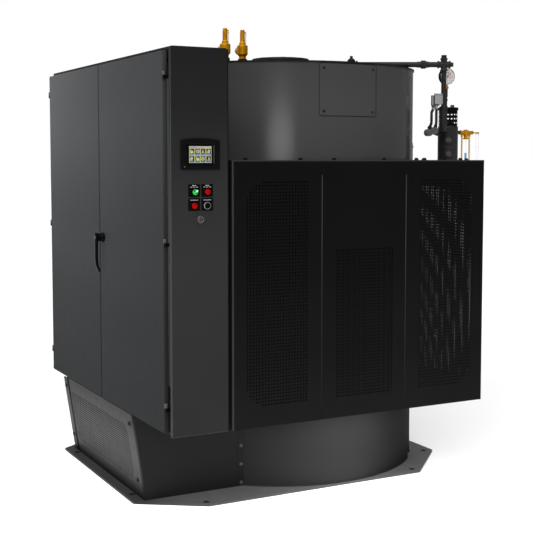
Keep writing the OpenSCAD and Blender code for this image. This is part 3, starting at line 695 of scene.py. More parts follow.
def louvre():
    y0, y1, top, thick, ch = -540.0, 425.0, LL * 413.5 / 406, 8.0, 1.2
    n = 22
    ends = {0: (-418, 404), 1: (-434, 410), 2: (-443, 413), 3: (-449, 414), n - 1: (-424, 384), n - 2: (-438, 400), n - 3: (-446, 409), n - 4: (-450, 413)}
    rows = []
    for k in range(n):
        s = (348 - (348 - 92) * k / (n - 1) - 10) * LL / 406
        a, c = ends.get(k, (-452, 414))
        rows.append((s + 2.7, s - 2.7, a, c))
    verts, faces, idx = [], [], {}

    def pt(side, key, y, s):
        q = (side,) + key
        if q not in idx:
            idx[q] = len(verts)
            d = thick if side == "b" else ch if side == "m" else 0.0
            verts.append(lean(y, s, d))
        return idx[q]

    for side in ("f", "b"):
        e = ch if side == "f" else 0.0
        Y0, Y1 = y0 + e, y1 - e

        def edge(k, which):
            """The four points along the upper or lower edge of slot k."""
            s = rows[k][0] if which == "t" else rows[k][1]
            a, c = rows[k][2], rows[k][3]
            return [pt(side, (k, which, 0), Y0, s), pt(side, (k, which, 1), a, s), pt(side, (k, which, 2), c, s), pt(side, (k, which, 3), Y1, s)]

        crown = [pt(side, ("top", 0), Y0, top - e), pt(side, ("top", 1), Y1, top - e)]
        foot = [pt(side, ("bot", 0), Y0, e), pt(side, ("bot", 1), Y1, e)]
        faces.append(tuple(crown + edge(0, "t")[::-1]))
        faces.append(tuple(edge(n - 1, "b") + foot[::-1]))
        for k in range(n):
            t, u = edge(k, "t"), edge(k, "b")
            s = (rows[k][0] + rows[k][1]) / 2
            ml, mr = pt(side, (k, "ml"), rows[k][2] - 2.4, s), pt(side, (k, "mr"), rows[k][3] + 2.4, s)
            faces.append((t[0], t[1], ml, u[1], u[0]))
            faces.append((t[2], t[3], u[3], u[2], mr))
            if k + 1 < n:
                faces.append(tuple(u + edge(k + 1, "t")[::-1]))
    for k in range(n):
        loop = [(k, "t", 1), (k, "t", 2), (k, "mr"), (k, "b", 2), (k, "b", 1), (k, "ml")]
        for i in range(6):
            A, B = loop[i], loop[(i + 1) % 6]
            faces.append((idx[("f",) + A], idx[("f",) + B], idx[("b",) + B], idx[("b",) + A]))
    left = [(("top", 0), y0, top)] + [((k, w, 0), y0, rows[k][0] if w == "t" else rows[k][1]) for k in range(n) for w in "tb"] + [(("bot", 0), y0, 0.0)]
    right = [(("bot", 1), y1, 0.0)] + [((k, w, 3), y1, rows[k][0] if w == "t" else rows[k][1]) for k in range(n - 1, -1, -1) for w in "bt"] + [(("top", 1), y1, top)]
    ring = left + right
    for i in range(len(ring)):
        (A, ya, sa), (B, yb, sb) = ring[i], ring[(i + 1) % len(ring)]
        ma, mb = pt("m", A, ya, sa), pt("m", B, yb, sb)
        faces.append((idx[("f",) + A], idx[("f",) + B], mb, ma))
        faces.append((ma, mb, idx[("b",) + B], idx[("b",) + A]))
    return verts, faces


b = Build()
b.add(louvre())
OUT = (-406 / LL, 0, -60 / LL)
for y, s in ((-495, 366), (-495, 90)):
    button_screw(b, lean(y, s, 0), OUT, 11, 7, 1, 1)
# Black sheet just behind the slots: painted shade, so that the slots read dark.
inner = [lean(-470, 62, 12), lean(420, 62, 12), lean(420, 365, 12), lean(-470, 365, 12)]
deeper = [lean(-470, 62, 14), lean(420, 62, 14), lean(420, 365, 14), lean(-470, 365, 14)]
b.add((inner + deeper, [(0, 1, 2, 3), (4, 5, 6, 7), (0, 1, 5, 4), (1, 2, 6, 5), (2, 3, 7, 6), (3, 0, 4, 7)]), 2)
make("louvre_sheet", b, [M_LOUVRE, M_SCREW, M_SHADE_BLACK], replaces=("louvre_panel",))
b = Build()
p0, p1 = lean(0, 0, 0), lean(0, LL, 0)
q0, q1 = lean(0, 0, 8), lean(0, LL, 8)
sect = [(p0[0], p0[2]), (p1[0], p1[2]), (q1[0], q1[2]), (q0[0], q0[2])]
strip = prism([(x, z) for x, z in sect], -510, -452, 1.5, 2)
b.add(([(x, -y, z) for x, z, y in strip[0]], strip[1]))
for s in (366, 90):
    button_screw(b, lean(482, s, 0), OUT, 11, 7, 1, 1)
make("pedestal_strip_sheet", b, [M_LOUVRE, M_SCREW], replaces=("pedestal_strip",))
b = Build()
for z in (210, 118, 26):
    button_screw(b, (-492, -540, z), (0, -1, 0), 9, 5, 0, 1)
    button_screw(b, (-492, 510, z), (0, 1, 0), 9, 5, 0, 1)
b.add(rbox((-512, -541.4, 12), (-482, -540.1, 409), 0.6, 1), 2)
make("pedestal_screws", b, [M_HUB, M_SHADE_BLACK, M_CABIN])

# ---------------------------------------------------------------- cabinet
finish_cad(["cabinet_floor", "cabinet_roof", "cabinet_back_wall", "cabinet_front_wall", "cabinet_rear_wall", "cabinet_mullion"], M_CABIN, 1.5)
finish_cad(["mounting_plate"], M_ZINC, 1.0)
b = Build()
b.add(rbox((-1049, -1011, 420), (-784, -991.2, 2070), 4.0, 4))
# Black strip along the right edge: painted shade of the gap between panel and jacket.
b.add(rbox((-784.6, -1010.4, 420.4), (-781, -991.2, 2069.6), 1.4, 3), 1)
# Pale thin rod along the left front edge: painted highlight on the rounded edge.
b.add(rod(1.3, 424.5, 2065.5, 0.8, 20), 2, at(-1048.0, -1010.0, 0))
make("control_panel_face", b, [M_PANEL, M_PLASTIC, M_PAINTED_EDGE_LINE], replaces=("control_panel",))

# ---------------------------------------------------------------- operator screen and push buttons, on the face at y = -1011
FRONT = Matrix(((1, 0, 0, 0), (0, 0, -1, -1011), (0, 1, 0, 0), (0, 0, 0, 1)))


def on_face(x, z):
    return at(x, 0, z) @ FRONT


cx, cz, w, h = -914.5, 1621.0, 180.0, 124.6
outer, inner = rrect(w, h, 4.5, 7), rrect(128, 92, 5, 7)
for loop in (outer, inner):
    # points along the top edge, so that it can arch
    (xa, ya), (xb, yb) = loop[7], loop[8]
    loop[8:8] = [(xa + (xb - xa) * k / 16, ya + (yb - ya) * k / 16) for k in range(1, 16)]
arched = [(x, y + 8.0 * max(0.0, 1 - (2 * x / w) ** 2) if y > h / 4 else y) for x, y in outer]
b = Build()
b.add(ring_prism(arched, inner, 0.1, 7.0, 1.8), 0, on_face(cx, cz))
b.add(ring_prism(rrect(128.6, 92.6, 5, 7), rrect(104.5, 71.5, 2, 7), 0.1, 4.6, 0.8), 1, on_face(-914.6, 1623))
b.add(rbox((61, -38, 4.4), (63.2, 38, 5.6), 0.5, 1), 2, on_face(-914.5, 1623))
b.add(lathe([(0, 6.6), (3.2, 6.6), (3.0, 7.4), (0, 7.8)], 20), 2, on_face(-988, 1571))
make("operator_bezel", b, [M_PLASTIC, M_GLOSS, M_HUB], replaces=("hmi_bezel",))
b = Build()
pic = on_face(-914.6, 1622.6) @ Matrix.Diagonal((0.945, 0.915, 1, 1))
b.add(rbox((-55, -38.8, 2.9), (55, 38.8, 3.4), 0.1, 1), 0, pic)
b.add(rbox((-54, 31, 3.3), (54, 38, 3.7), 0.1, 1), 5, pic)
b.add(rbox((-46, 33, 3.6), (-22, 36.4, 3.9), 0.1, 1), 2, pic)
b.add(rbox((38, 33, 3.6), (50, 36.4, 3.9), 0.1, 1), 3, pic)
for i in range(4):
    for j in range(2):
        X, Z = -40.5 + 27 * i, -0.5 + 13.0 - 33.5 * j
        b.add(ring_prism(rrect(26.2, 32.2, 1.5, 3), rrect(22.4, 27.4, 1.0, 3), 3.2, 3.8, 0.1), 1, pic @ at(X, Z, 0))
        b.add(prism(rrect(22.8, 27.8, 1.0, 2), 3.2, 3.5), 4, pic @ at(X, Z, 0))
        b.add(prism(rrect(19, 4.6, 0.8, 2), 3.6, 3.95), 2, pic @ at(X, Z - 13.2, 0))
        f = pic @ at(X + (1.5 if i % 2 else -1.0), Z + 1.5, 0)
        kind = (i + 3 * j) % 4
        if kind == 0:
            b.add(prism([(-8, -9), (-8, 9), (-3, 9), (-3, 2), (3, 6), (8, 0), (8, -9)], 3.4, 3.9), 1, f)
        elif kind == 1:
            b.add(ring_prism(ngon(8.5, 18), ngon(5.0, 18), 3.4, 3.9, 0.1), 3, f)
            b.add(prism(ngon(2.6, 10), 3.4, 3.9), 1, f)
        elif kind == 2:
            b.add(prism([(-8, -8), (0, 9), (8, -8), (4.5, -8), (0, 2), (-4.5, -8)], 3.4, 3.9), 1, f)
            b.add(prism(rrect(5, 4, 0.6, 2), 3.4, 3.9), 3, f @ at(0, -6.5, 0))
        else:
            b.add(prism([(-3, -9), (3, -9), (3, 1), (8, 1), (0, 10), (-8, 1), (-3, 1)], 3.4, 3.9), 3, f)
            b.add(prism(rrect(4, 9, 0.8, 2), 3.4, 3.9), 1, f @ at(-8, -4, 0))
make("operator_screen", b, [M_SCREEN, M_TILE, M_TILEBLUE, M_TILEPALE, M_TILEDARK, M_LILAC, M_OLIVE], replaces=("hmi_screen",))

b = Build()
for x in (-943, -882.5):
    for z in (1471.0, 1412.0):
        b.add(prism(rrect(54, 53.5, 3, 4), 0.1, 1.5, 0.4, 1), 0, on_face(x, z))
        if z > 1450:
            for u0, u1 in ((-9.0, -1.2), (1.2, 8.0)):
                b.add(prism([(u0, 20.6), (u1, 20.6), (u1, 22.8), (u0, 22.8)], 1.4, 1.65), 2, on_face(x, z))
            for u0, u1 in ((-18.0, -9.0), (-5.0, 4.6), (8.6, 18.0)):
                b.add(prism([(u0, 14.0), (u1, 14.0), (u1, 15.6), (u0, 15.6)], 1.4, 1.65), 2, on_face(x, z))
        else:
            for u0, u1 in ((-18.0, -5.0), (-3.4, 6.6), (8.2, 18.0)):
                b.add(prism([(u0, 18.2), (u1, 18.2), (u1, 19.8), (u0, 19.8)], 1.4, 1.65), 2, on_face(x, z))
horn = on_face(-914.2, 1348.7)
b.add(lathe(soften([(0, 0.1), (18.2, 0.1), (18.2, 4.0), (15.6, 8.4), (12.6, 9.4), (11.4, 7.4), (0, 7.8)], 1.2), 48), 1, horn)
b.add(lathe([(0, 7.2), (11.3, 7.2), (11.3, 7.9), (9.0, 8.3), (0, 8.5)], 40), 5, horn)
# Three black discs on the horn face: painted shade standing for its sound holes.
for k in range(3):
    t = math.radians(90 + 120 * k + 14)
    b.add(lathe([(0, 8.0), (3.3, 8.0), (3.3, 8.7), (0, 8.7)], 20), 3, horn @ at(6.0 * math.cos(t), 6.0 * math.sin(t), 0))
make("legend_plates_and_horn", b, [M_GLOSS, M_HORN, M_DIAL, M_SHADE_BLACK, M_CAST, M_HUB], replaces=("panel_fittings",))

b = Build()
for x, z in ((-883, 1465.5), (-943, 1406.5)):
    f = on_face(x, z)
    b.add(lathe(soften([(0, 1.4), (14.5, 1.4), (14.5, 4.0), (12.8, 5.4), (0, 5.4)], 0.8), 40), 0, f)
    b.add(lathe(soften([(0, 4.0), (11.6, 4.0), (11.6, 10.0), (9.6, 12.8), (5.0, 14.0), (0, 14.2)], 1.6), 40), 1, f)
    for k in range(12):
        t = TAU * k / 12
        b.add(rbox((11.2, -0.7, 5.6), (12.0, 0.7, 9.6), 0.3, 1), 1, f @ Matrix.Rotation(t, 4, "Z"))
f = on_face(-883, 1406.5)
b.add(lathe(soften([(13.2, 1.6), (15.0, 1.6), (15.0, 6.5), (14.6, 7.6), (13.7, 7.6), (13.2, 6.0)], 0.5), 48, closed=True), 2, f)
make("lamps_and_ring", b, [M_GLOSS, M_RED, M_CAST], replaces=("lamp_bezels",))

b = Build()
f = on_face(-940, 1464.5)
b.add(lathe(soften([(0, -8), (5.5, -8), (5.5, 2.6), (15.5, 2.6), (15.5, 5.4), (13.6, 6.4), (12.8, 6.8), (0, 6.8)], 0.6), 48), 2, f)
b.add(lathe(soften([(0, 6.6), (12.0, 6.6), (12.0, 9.4), (10.9, 10.4), (0, 10.4)], 0.7), 48), 0, f)
grip = f @ Matrix.Rotation(math.radians(45), 4, "Z")
b.add(rbox((-12.0, -3.6, 9.8), (12.0, 3.6, 15.6), 2.2, 3), 0, grip)
b.add(rbox((1.0, -2.4, 15.2), (11.6, 2.4, 15.9), 0.3, 1), 1, grip)
for sgn in (-1, 1):
    b.add(prism([(-5.0, sgn * 5.4), (5.0, sgn * 5.4), (3.0, sgn * 9.6), (-3.0, sgn * 9.6)], 10.3, 10.6), 2, grip)
make("selector_grip", b, [M_GREEN, M_PALE, M_GLOSS], body="selector", replaces=("selector_knob",))
b = Build()
f = on_face(-883, 1406.5)
b.add(lathe(soften([(0, -7.5), (5.5, -7.5), (5.5, 6.2), (11, 6.2), (11, 12.4), (9.6, 14.0), (6, 13.4), (0, 13.0)], 0.9), 48), 0, f)
make("button_cap", b, [M_GLOSS], body="button", replaces=("stop_button",))

# ---------------------------------------------------------------- doors, hinges, handle
finish_cad(["hinge_posts"], M_PLASTIC, 0.8)
finish_cad(["front_knuckles", "rear_knuckles"], M_HUB, 0.8)


def door(name, y0, y1, body, node, inside):
    b = Build()
    b.add(rbox((-1058.5, y0, 425.5), (-1036.5, y1, 2058), 5.5, 5))
    f = Matrix(((0, 0, 1, -1036.7), (1, 0, 0, (y0 + y1) / 2), (0, 1, 0, 1241.75), (0, 0, 0, 1)))
    w, h = y1 - y0, 1632.5
    b.add(ring_prism(rrect(w - 40, h - 40, 14, 5), rrect(w - 62, h - 62, 8, 5), 0, 4.0, 0.9), 1, f)
    for y in inside:
        hat = soften([(-34, 0), (-20, 0), (-14, 18), (14, 18), (20, 0), (34, 0)], 2.0, 2)
        sec = hat + [(x, z - 1.6) for x, z in reversed(hat)]
        sec = [(x, z + 1.8) for x, z in sec]
        b.add(prism(sec, 520, 1960, 0.0), 2, Matrix(((0, 1, 0, -1036.6), (1, 0, 0, y), (0, 0, 1, 0), (0, 0, 0, 1))))
    make(name, b, [M_DOOR, M_RUBBER, M_CABIN], body=body, replaces=(node,))


door("front_door_leaf", -949.0, -131.0, "front_leaf", "front_door", (-720, -400))
door("rear_door_leaf", -123.0, 701.0, "rear_leaf", "rear_door", (120, 450))

b = Build()
hub = along((-1059.5, -186, 1225), (-1, 0, 0))
b.add(lathe(soften([(0, -16), (7, -16), (7, 0.2), (23, 0.2), (23, 9), (19.5, 14), (18, 22), (17, 31), (0, 31)], 2.2), 48), 0, hub)
path = soften([(-1096.5, -186, 1242), (-1097.5, -186, 1200), (-1098, -186, 1120), (-1094, -186, 1085), (-1083, -186, 1062)], 30, 8)
path = [p for i, p in enumerate(path) if i == 0 or (Vector(p) - Vector(path[i - 1])).length > 0.5]
n = len(path)
oval = [(11.5 * math.copysign(abs(math.cos(TAU * k / 28)) ** 0.75, math.cos(TAU * k / 28)), 7.4 * math.copysign(abs(math.sin(TAU * k / 28)) ** 0.75, math.sin(TAU * k / 28))) for k in range(28)]
first, last = Vector(path[0]), Vector(path[-1])
head = (Vector(path[0]) - Vector(path[1])).normalized()
tail = (Vector(path[-1]) - Vector(path[-2])).normalized()
full = [tuple(first + head * 6.0), tuple(first + head * 4.6), tuple(first + head * 2.4)] + path + [tuple(last + tail * 2.2), tuple(last + tail * 3.8), tuple(last + tail * 4.8)]
body_scale = [1.12 - 0.26 * i / (n - 1) for i in range(n)]
scl = [0.45, 0.80, 1.05] + body_scale + [0.78, 0.58, 0.30]
b.add(sweep(full, oval, scales=scl), 0)
b.add(lathe(soften([(0, 30), (17.5, 30), (17.5, 42), (14, 45), (0, 45)], 2.0), 40), 0, hub)
b.add(lathe(soften([(5.6, 44.6), (5.6, 45.6), (4.6, 45.6), (4.4, 44.6)], 0.2), 24, closed=True), 1, hub)
make("door_grip", b, [M_GLOSS, M_RING], body="handle", replaces=("door_handle",))

# ---------------------------------------------------------------- front cover: three perforated sheets and a perforated side
def front(x, z, d):
    return (x, -1011 + d, z)


P = 14.9


def corner_out(n_rows, left):
    cut = [5, 3, 2, 1, 1]

    def skip(i, j, n_cols=21):
        k = min(j, n_rows - 1 - j)
        need = cut[k] if k < len(cut) else 0
        c = i if left else n_cols - 1 - i
        return c < need

    return skip


def field(name, x0, x1, first, last, z_last, rows, skip):
    u = cells(first, last, 21, x0, x1)
    v = cells(518.7, z_last, rows, 420, 1599)

    def hole(i, j):
        return 1 <= i <= 21 and 1 <= j <= rows and not (skip and skip(i - 1, j - 1))

    b = perf(front, u, v, hole, 1.2, 4.5, ch=0.4)
    return b


SEAM1, SEAM2 = -316.0, 140.0
b = field("l", -766, SEAM1 - 0.4, -691, -394, 1502.5, 67, corner_out(67, True))
make("cover_sheet_left", b, [M_COVER], replaces=("cover_front",))
b = field("m", SEAM1 + 0.4, SEAM2 - 0.4, -234, 64, 1189, 46, None)
make("cover_sheet_middle", b, [M_COVER])
b = field("r", SEAM2 + 0.4, 597, 223, 520, 1502.5, 67, corner_out(67, False))
make("cover_sheet_right", b, [M_COVER])

# Seam bead: a paler copy of the cover coat as a painted highlight, with painted shade darker towards the bottom.
M_SEAM_HIGHLIGHT = surf("seam_bead", (0.040, 0.040, 0.041), var=0.15, scale=5, rough=(0.38, 0.48), bump=0.05, bscale=900, spec=0.10, painted_shade_stops=[(0.48, 0.15), (0.9, 0.4), (1.3, 0.85), (1.54, 1.0)])
b = Build()
for x in (SEAM1, SEAM2):
    sec = [(2.0 * math.cos(math.radians(a)), 1.5 * math.sin(math.radians(a))) for a in range(0, 181, 20)] + [(-2.0, -0.6), (2.0, -0.6)]
    b.add(prism(sec, 485, 1532, 0.0), 0, Matrix(((1, 0, 0, x), (0, -1, 0, -1011), (0, 0, 1, 0), (0, 0, 0, 1))))
    b.add(lathe([(0, -0.4), (3.2, -0.4), (3.0, 1.2), (0, 1.7)], 16), 1, along((x - 3, -1011, 477), (0, -1, 0)))
for lo, hi in (((-765.6, -1009.4, 420.2), (596.6, -1006, 440)), ((-765.6, -1009.4, 1579), (596.6, -1006, 1598.8)), ((-765.6, -1009.4, 438), (-745, -1006, 1581)), ((576, -1009.4, 438), (596.6, -1006, 1581)), ((SEAM1 - 14, -1009.4, 438), (SEAM1 + 14, -1006, 1581)), ((SEAM2 - 14, -1009.4, 438), (SEAM2 + 14, -1006, 1581))):
    b.add(rbox(lo, hi, 0.4, 1), 2)
# folded black sheet behind the left and middle fields: painted shade, so that their holes read dark
fold = [(-744 + 14.0 * k, -1000.0 + 12.0 * (k % 2)) for k in range(62)]
b.add(prism(fold + [(x, y + 1.6) for x, y in reversed(fold)], 442, 1578), 4)
# Rim strips along the top and left edges: the pale strips are a painted highlight on the rim, the black strips just
# inboard are painted shade.
b.add(rbox((-766, -1011.6, 1594.6), (597, -1010.4, 1599.2), 0.5, 2), 3)
b.add(rbox((-757, -1011.4, 1590.2), (592, -1010.6, 1594.8), 0.3, 1), 4)
b.add(rbox((-766, -1011.6, 420.2), (-757.6, -1010.4, 1595), 0.5, 2), 3)
b.add(rbox((-757.8, -1011.4, 424), (-754.4, -1010.6, 1592), 0.3, 1), 4)
make("cover_seam_beads", b, [M_SEAM_HIGHLIGHT, M_SCREW, M_COVER, M_COVER_RIM_HIGHLIGHT, M_SHADE_BLACK])


def side(y, z, d):
    return (597 - d, y, z)


u = cells(-945, -483, 32, -1006, -419)
v = cells(518.7, 1502.5, 67, 420, 1599)
skip_f = corner_out(67, False)
b = perf(side, u, v, lambda i, j: 1 <= i <= 32 and 1 <= j <= 67, 3.4, 3.15, ch=0.6)
for lo, hi in (((592.2, -1006, 420.2), (595.4, -419.2, 440)), ((592.2, -1006, 1579), (595.4, -419.2, 1598.8)), ((592.2, -1005.6, 438), (595.4, -990, 1581)), ((592.2, -434, 438), (595.4, -419.2, 1581))):
    b.add(rbox(lo, hi, 0.4, 1))
make("cover_sheet_side", b, [M_COVER], replaces=("cover_side",))
finish_cad(["cover_left", "cover_top", "cover_bottom"], M_COVER, 1.2)
b = Build()
for x in (-690, -416, -240, 31, 212, 258, 470):
    hex_bolt(b, (x, -988, 1599), (0, 0, 1), 8.5, 10.5, 0)
for y in (-900, -720, -540):
    hex_bolt(b, (575, y, 1599), (0, 0, 1), 7.5, 8.5, 0)
    hex_bolt(b, (-745, y, 1599), (0, 0, 1), 7.5, 8.5, 0)
make("cover_top_screws", b, [M_PLASTIC])

# ---------------------------------------------------------------- safety valves
def safety_valve(x, y, name, node):
    b = Build()
    c = at(x, y, 0)
    b.add(prism(ngon(18.6, 6, 0.35), 2104.1, 2117, 1.4, 2), 0, c)
    b.add(lathe(soften([(0, 2116), (17, 2116), (18.5, 2119), (26.5, 2127), (26.5, 2169), (23.5, 2173.4), (17.5, 2174.6), (16.6, 2176.5), (16.2, 2184), (12.6, 2190), (12.4, 2238.6), (0, 2238.6)], 1.4), 56), 0, c)
    for z in (2132.0, 2165.0):
        b.add(lathe([(26.2, z - 1.2), (27.0, z), (26.2, z + 1.2), (25, z)], 56, closed=True), 0, c)
    for k in range(24):
        b.add(rbox((16.0, -0.8, 2177.5), (16.9, 0.8, 2183.5), 0.3, 1), 0, c @ Matrix.Rotation(TAU * k / 24, 4, "Z"))
    for z in (2196.0, 2200.0, 2232.0):
        b.add(lathe([(12.2, z - 1.0), (13.0, z), (12.2, z + 1.0), (11, z)], 40, closed=True), 0, c)
    b.add(lathe(soften([(0, 2238), (10.0, 2238), (11, 2240), (11, 2247), (9.4, 2250), (0, 2250)], 0.9), 40), 0, c)
    b.add(rbox((x + 2, y - 9, 2233), (x + 16.5, y - 3, 2241), 1.4, 2), 0)
    b.add(rbox((x + 7.5, y - 10.5, 2184), (x + 17.0, y - 2.0, 2235), 1.6, 3), 1)
    b.add(rod(2.2, -2.4, 2.4, 0.4, 18), 0, along((x + 12, y - 10.2, 2229), (0, 1, 0)))
    o = along((x, y, 2150), (0, 1, 0))
    b.add(lathe(soften([(0, 12), (17, 12), (17, 36), (0, 36)], 1.4), 44), 0, o)
    b.add(lathe(soften([(0, 35), (17, 35), (20.0, 38), (20.0, 48), (18.2, 50), (0, 50)], 1.2), 44), 2, o)
    b.add(lathe(soften([(13, 46), (18, 46), (18, 52), (15, 52), (13, 50)], 0.8), 40, closed=True), 2, o)
    # Black disc just inside the outlet mouth: painted shade in the bore.
    b.add(lathe([(0, 49.6), (13.2, 49.6), (13.2, 50.2), (0, 50.2)], 28), 3, o)
    make(name, b, [M_BRASS, M_LEVER, M_COPPER, M_SHADE_BLACK], replaces=(node,))


safety_valve(-459.0, -302.0, "relief_valve_left", "safety_valve_1")
safety_valve(-349.0, -273.0, "relief_valve_right", "safety_valve_2")

# ---------------------------------------------------------------- trim piping
TRIM = math.radians(-27.7)
TD = (math.cos(TRIM), math.sin(TRIM), 0.0)


def on_trim(r, z):
    return (r * TD[0], r * TD[1], z)


def socket(b, o, d, r, l0, l1, bead=3.0, mat=0):
    """One branch of a screwed fitting: body with a rolled bead at its mouth."""
    b.add(lathe(soften([(0, l0), (r - 1.6, l0), (r - 1.6, l1 - 9), (r + bead * 0.55, l1 - 7), (r + bead * 0.55, l1 - 1), (r - 0.5, l1), (0, l1)], 1.6), 40), mat, along(o, d))


def square_plug(b, o, d, l0, r_hex, side_, h, mat=0):
    xf = along(o, d)
    b.add(lathe(soften([(0, l0 - 4), (r_hex, l0 - 4), (r_hex, l0 + 5), (r_hex - 3, l0 + 6.5), (0, l0 + 6.5)], 1.0), 32), mat, xf)
    b.add(prism([(side_, side_), (-side_, side_), (-side_, -side_), (side_, -side_)], l0 + 5, l0 + 6 + h, 1.2, 2), mat, xf @ Matrix.Rotation(TRIM, 4, "Z"))


b = Build()
tee = on_trim(396, 2112)
b.add(rod(15, 2072, 2098, 0.6, 36), 0, at(tee[0], tee[1], 0))
socket(b, tee, (0, 0, 1), 19.5, -1, 26)
socket(b, tee, (0, 0, -1), 19.5, -1, 26)
socket(b, tee, TD, 19.5, -16, 34)
square_plug(b, tee, (0, 0, 1), 26, 15, 7.4, 14)
b.add(rod(14.5, 20, 500, 0.6, 36), 0, along(tee, TD))
cross = on_trim(896, 2112)
back = (-TD[0], -TD[1], 0)
for d in (TD, back, (0, 0, 1), (0, 0, -1)):
    socket(b, cross, d, 18.4, -2, 35 if d != (0, 0, 1) else 34, 3.6)
xf = along(cross, TD)
b.add(lathe(soften([(0, 30), (13, 30), (13, 38), (12, 40), (12, 49), (10.6, 50), (0, 50)], 0.8), 32), 0, xf)
xf = at(*cross)
b.add(prism([(10.4, 10.4), (-10.4, 10.4), (-10.4, -10.4), (10.4, -10.4)], 33, 51, 1.6, 2), 0, xf @ Matrix.Rotation(TRIM + 0.5, 4, "Z"))
u0 = along(on_trim(751, 2112), TD)
b.add(lathe(soften([(0, 0), (16.5, 0), (16.5, 22), (0, 22)], 1.2), 36), 0, u0)
b.add(prism(ngon(23.4, 8, math.pi / 8), 21, 46, 1.8, 2), 0, u0)
b.add(lathe(soften([(0, 45), (18.5, 45), (17.5, 49), (16.5, 63), (0, 63)], 1.2), 36), 0, u0)
make("steam_line", b, [M_IRON], replaces=("steam_pipe",))

b = Build()
cxr, cyr = cross[0], cross[1]
colx, coly = 868.0, -360.0
b.add(rod(13.5, 1880, 2084, 0.6, 40), 0, at(cxr, cyr, 0))
elbow = (cxr, cyr, 1768.0)
dc = Vector((colx - cxr, coly - cyr, 0))
dist = dc.length
dc.normalize()
b.add(lathe(soften([(0, 1776), (19.6, 1776), (20.4, 1782), (20.4, 1876), (22.4, 1878), (22.4, 1885), (20, 1888), (0, 1888)], 1.4), 40), 0, at(cxr, cyr, 0))
socket(b, elbow, tuple(dc), 18.4, -12, 28)
b.add(lathe([(0, -16), (8, -15), (14, -11), (18, -4), (19.6, 4), (19.6, 12), (0, 12)], 36), 0, at(*elbow))
b.add(rod(14.5, 10, dist - 54, 0.6, 36), 0, along(elbow, dc))
make("column_riser_pipe", b, [M_IRON], replaces=("column_riser",))

b = Build()
c = at(colx, coly, 0)
b.add(lathe(soften([(0, 1440), (36, 1440), (38, 1446), (42, 1452), (51, 1456), (55, 1466), (55, 1776), (53, 1783), (47, 1786), (0, 1786)], 4.0), 72), 0, c)
for z in (1600, 1668):
    b.add(lathe([(54.6, z - 2.2), (55.7, z), (54.6, z + 2.2), (53.6, z)], 72, closed=True), 0, c)
for z in (1631, 1705):
    d = (math.cos(math.radians(-123)), math.sin(math.radians(-123)), 0)
    xf = along((colx, coly, z), d)
    b.add(lathe(soften([(0, 40), (22, 40), (20.5, 55), (20, 62), (0, 62)], 2.0), 40), 0, xf)
    # Plug heads in the lighter iron copy: painted highlight.
    b.add(lathe(soften([(0, 60), (15, 60), (15, 65), (0, 65)], 0.8), 32), 1, xf)
    b.add(prism(ngon(11.5), 64, 70, 1.0, 2), 1, xf)
ca = math.atan2(coly, colx)
cd = (math.cos(ca), math.sin(ca), 0)
crad = math.hypot(colx, coly)
leg = along((0, 0, 1475), cd)
b.add(rod(16.5, 730, crad - 50, 0.6, 36), 0, leg)
b.add(lathe(soften([(0, 728), (34, 728), (34, 738), (30, 740), (0, 740)], 1.5), 48), 0, leg)
for k in range(4):
    t = TAU * (k + 0.5) / 4
    hex_bolt(b, tuple(leg @ Vector((26 * math.cos(t), 26 * math.sin(t), 740))), cd, 4.6, 5, 0)
b.add(prism(ngon(19.5, 8), crad - 104, crad - 94, 1.0, 2), 0, leg)
b.add(prism(ngon(25, 8), crad - 96, crad - 72, 1.8, 2), 0, leg)
make("water_column_body", b, [M_IRON, M_IRON_PLUG_LIT], replaces=("water_column",))

GR = 51.0


def guard(u_, z, d):
    t = u_ / GR - 0.0576
    return (colx + (GR - d) * math.cos(t), coly + (GR - d) * math.sin(t), z)


nc = 16
u = [TAU * GR * k / nc for k in range(nc + 1)]
v = [1786.2, 1791, 1813.5, 1836, 1858.5, 1870]
b = perf(guard, u, v, lambda i, j: 1 <= j <= 3, 1.4, 5.8, ch=0.5, wrap=True)
b.add(lathe(soften([(0, 1869.6), (55.8, 1869.6), (55.8, 1882), (53, 1885.4), (0, 1886)], 1.6), 72), 0, c)
for z in (1872.5, 1879.0):
    b.add(lathe([(55.4, z - 1.2), (56.1, z), (55.4, z + 1.2), (54, z)], 72, closed=True), 0, c)
b.add(lathe(soften([(0, 1885), (12.4, 1885), (12.4, 1889), (10.6, 1890), (10.6, 1898), (9, 1900), (0, 1900)], 0.9), 32), 1, at(888, -370, 0))
b.add(lathe(soften([(0, 1786), (34, 1786), (34, 1803), (26, 1807), (0, 1807)], 1.6), 40), 1, c)
make("probe_guard_cage", b, [M_COVER, M_HUB], replaces=("probe_guard",))

# pressure gauge with dial, scale, pointer and window
b = Build()
g = Matrix(((1, 0, 0, 858), (0, 0, -1, -338), (0, 1, 0, 2055), (0, 0, 0, 1)))
b.add(lathe(soften([(0, 0), (40, 0), (44.6, 3), (44.6, 26.5), (0, 26.5)], 1.2), 72), 0, g)
b.add(lathe(soften([(39.4, 24), (45, 24), (45, 33.4), (43.6, 35), (41.6, 35), (40.4, 32), (39.4, 28)], 0.8), 72, closed=True), 4, g)
b.add(lathe([(0, 26.2), (40.2, 26.2), (40.2, 28.2), (0, 28.2)], 72), 1, g)
for k in range(31):
    t = math.radians(225 - 270 * k / 30)
    long = k % 5 == 0
    r0, r1, hw = (28.5 if long else 31.0), 34.5, (0.7 if long else 0.35)
    b.add(rbox((r0, -hw, 28.0), (r1, hw, 28.5), 0.1, 1), 2, g @ Matrix.Rotation(t, 4, "Z"))
steps = 30
for k in range(steps):
    t0, t1 = (math.radians(128 - 150 * q / steps) for q in (k, k + 1))
    b.add(prism([(21 * math.cos(t0), 21 * math.sin(t0)), (24.4 * math.cos(t0), 24.4 * math.sin(t0)), (24.4 * math.cos(t1), 24.4 * math.sin(t1)), (21 * math.cos(t1), 21 * math.sin(t1))], 28.1, 28.5), 3, g)
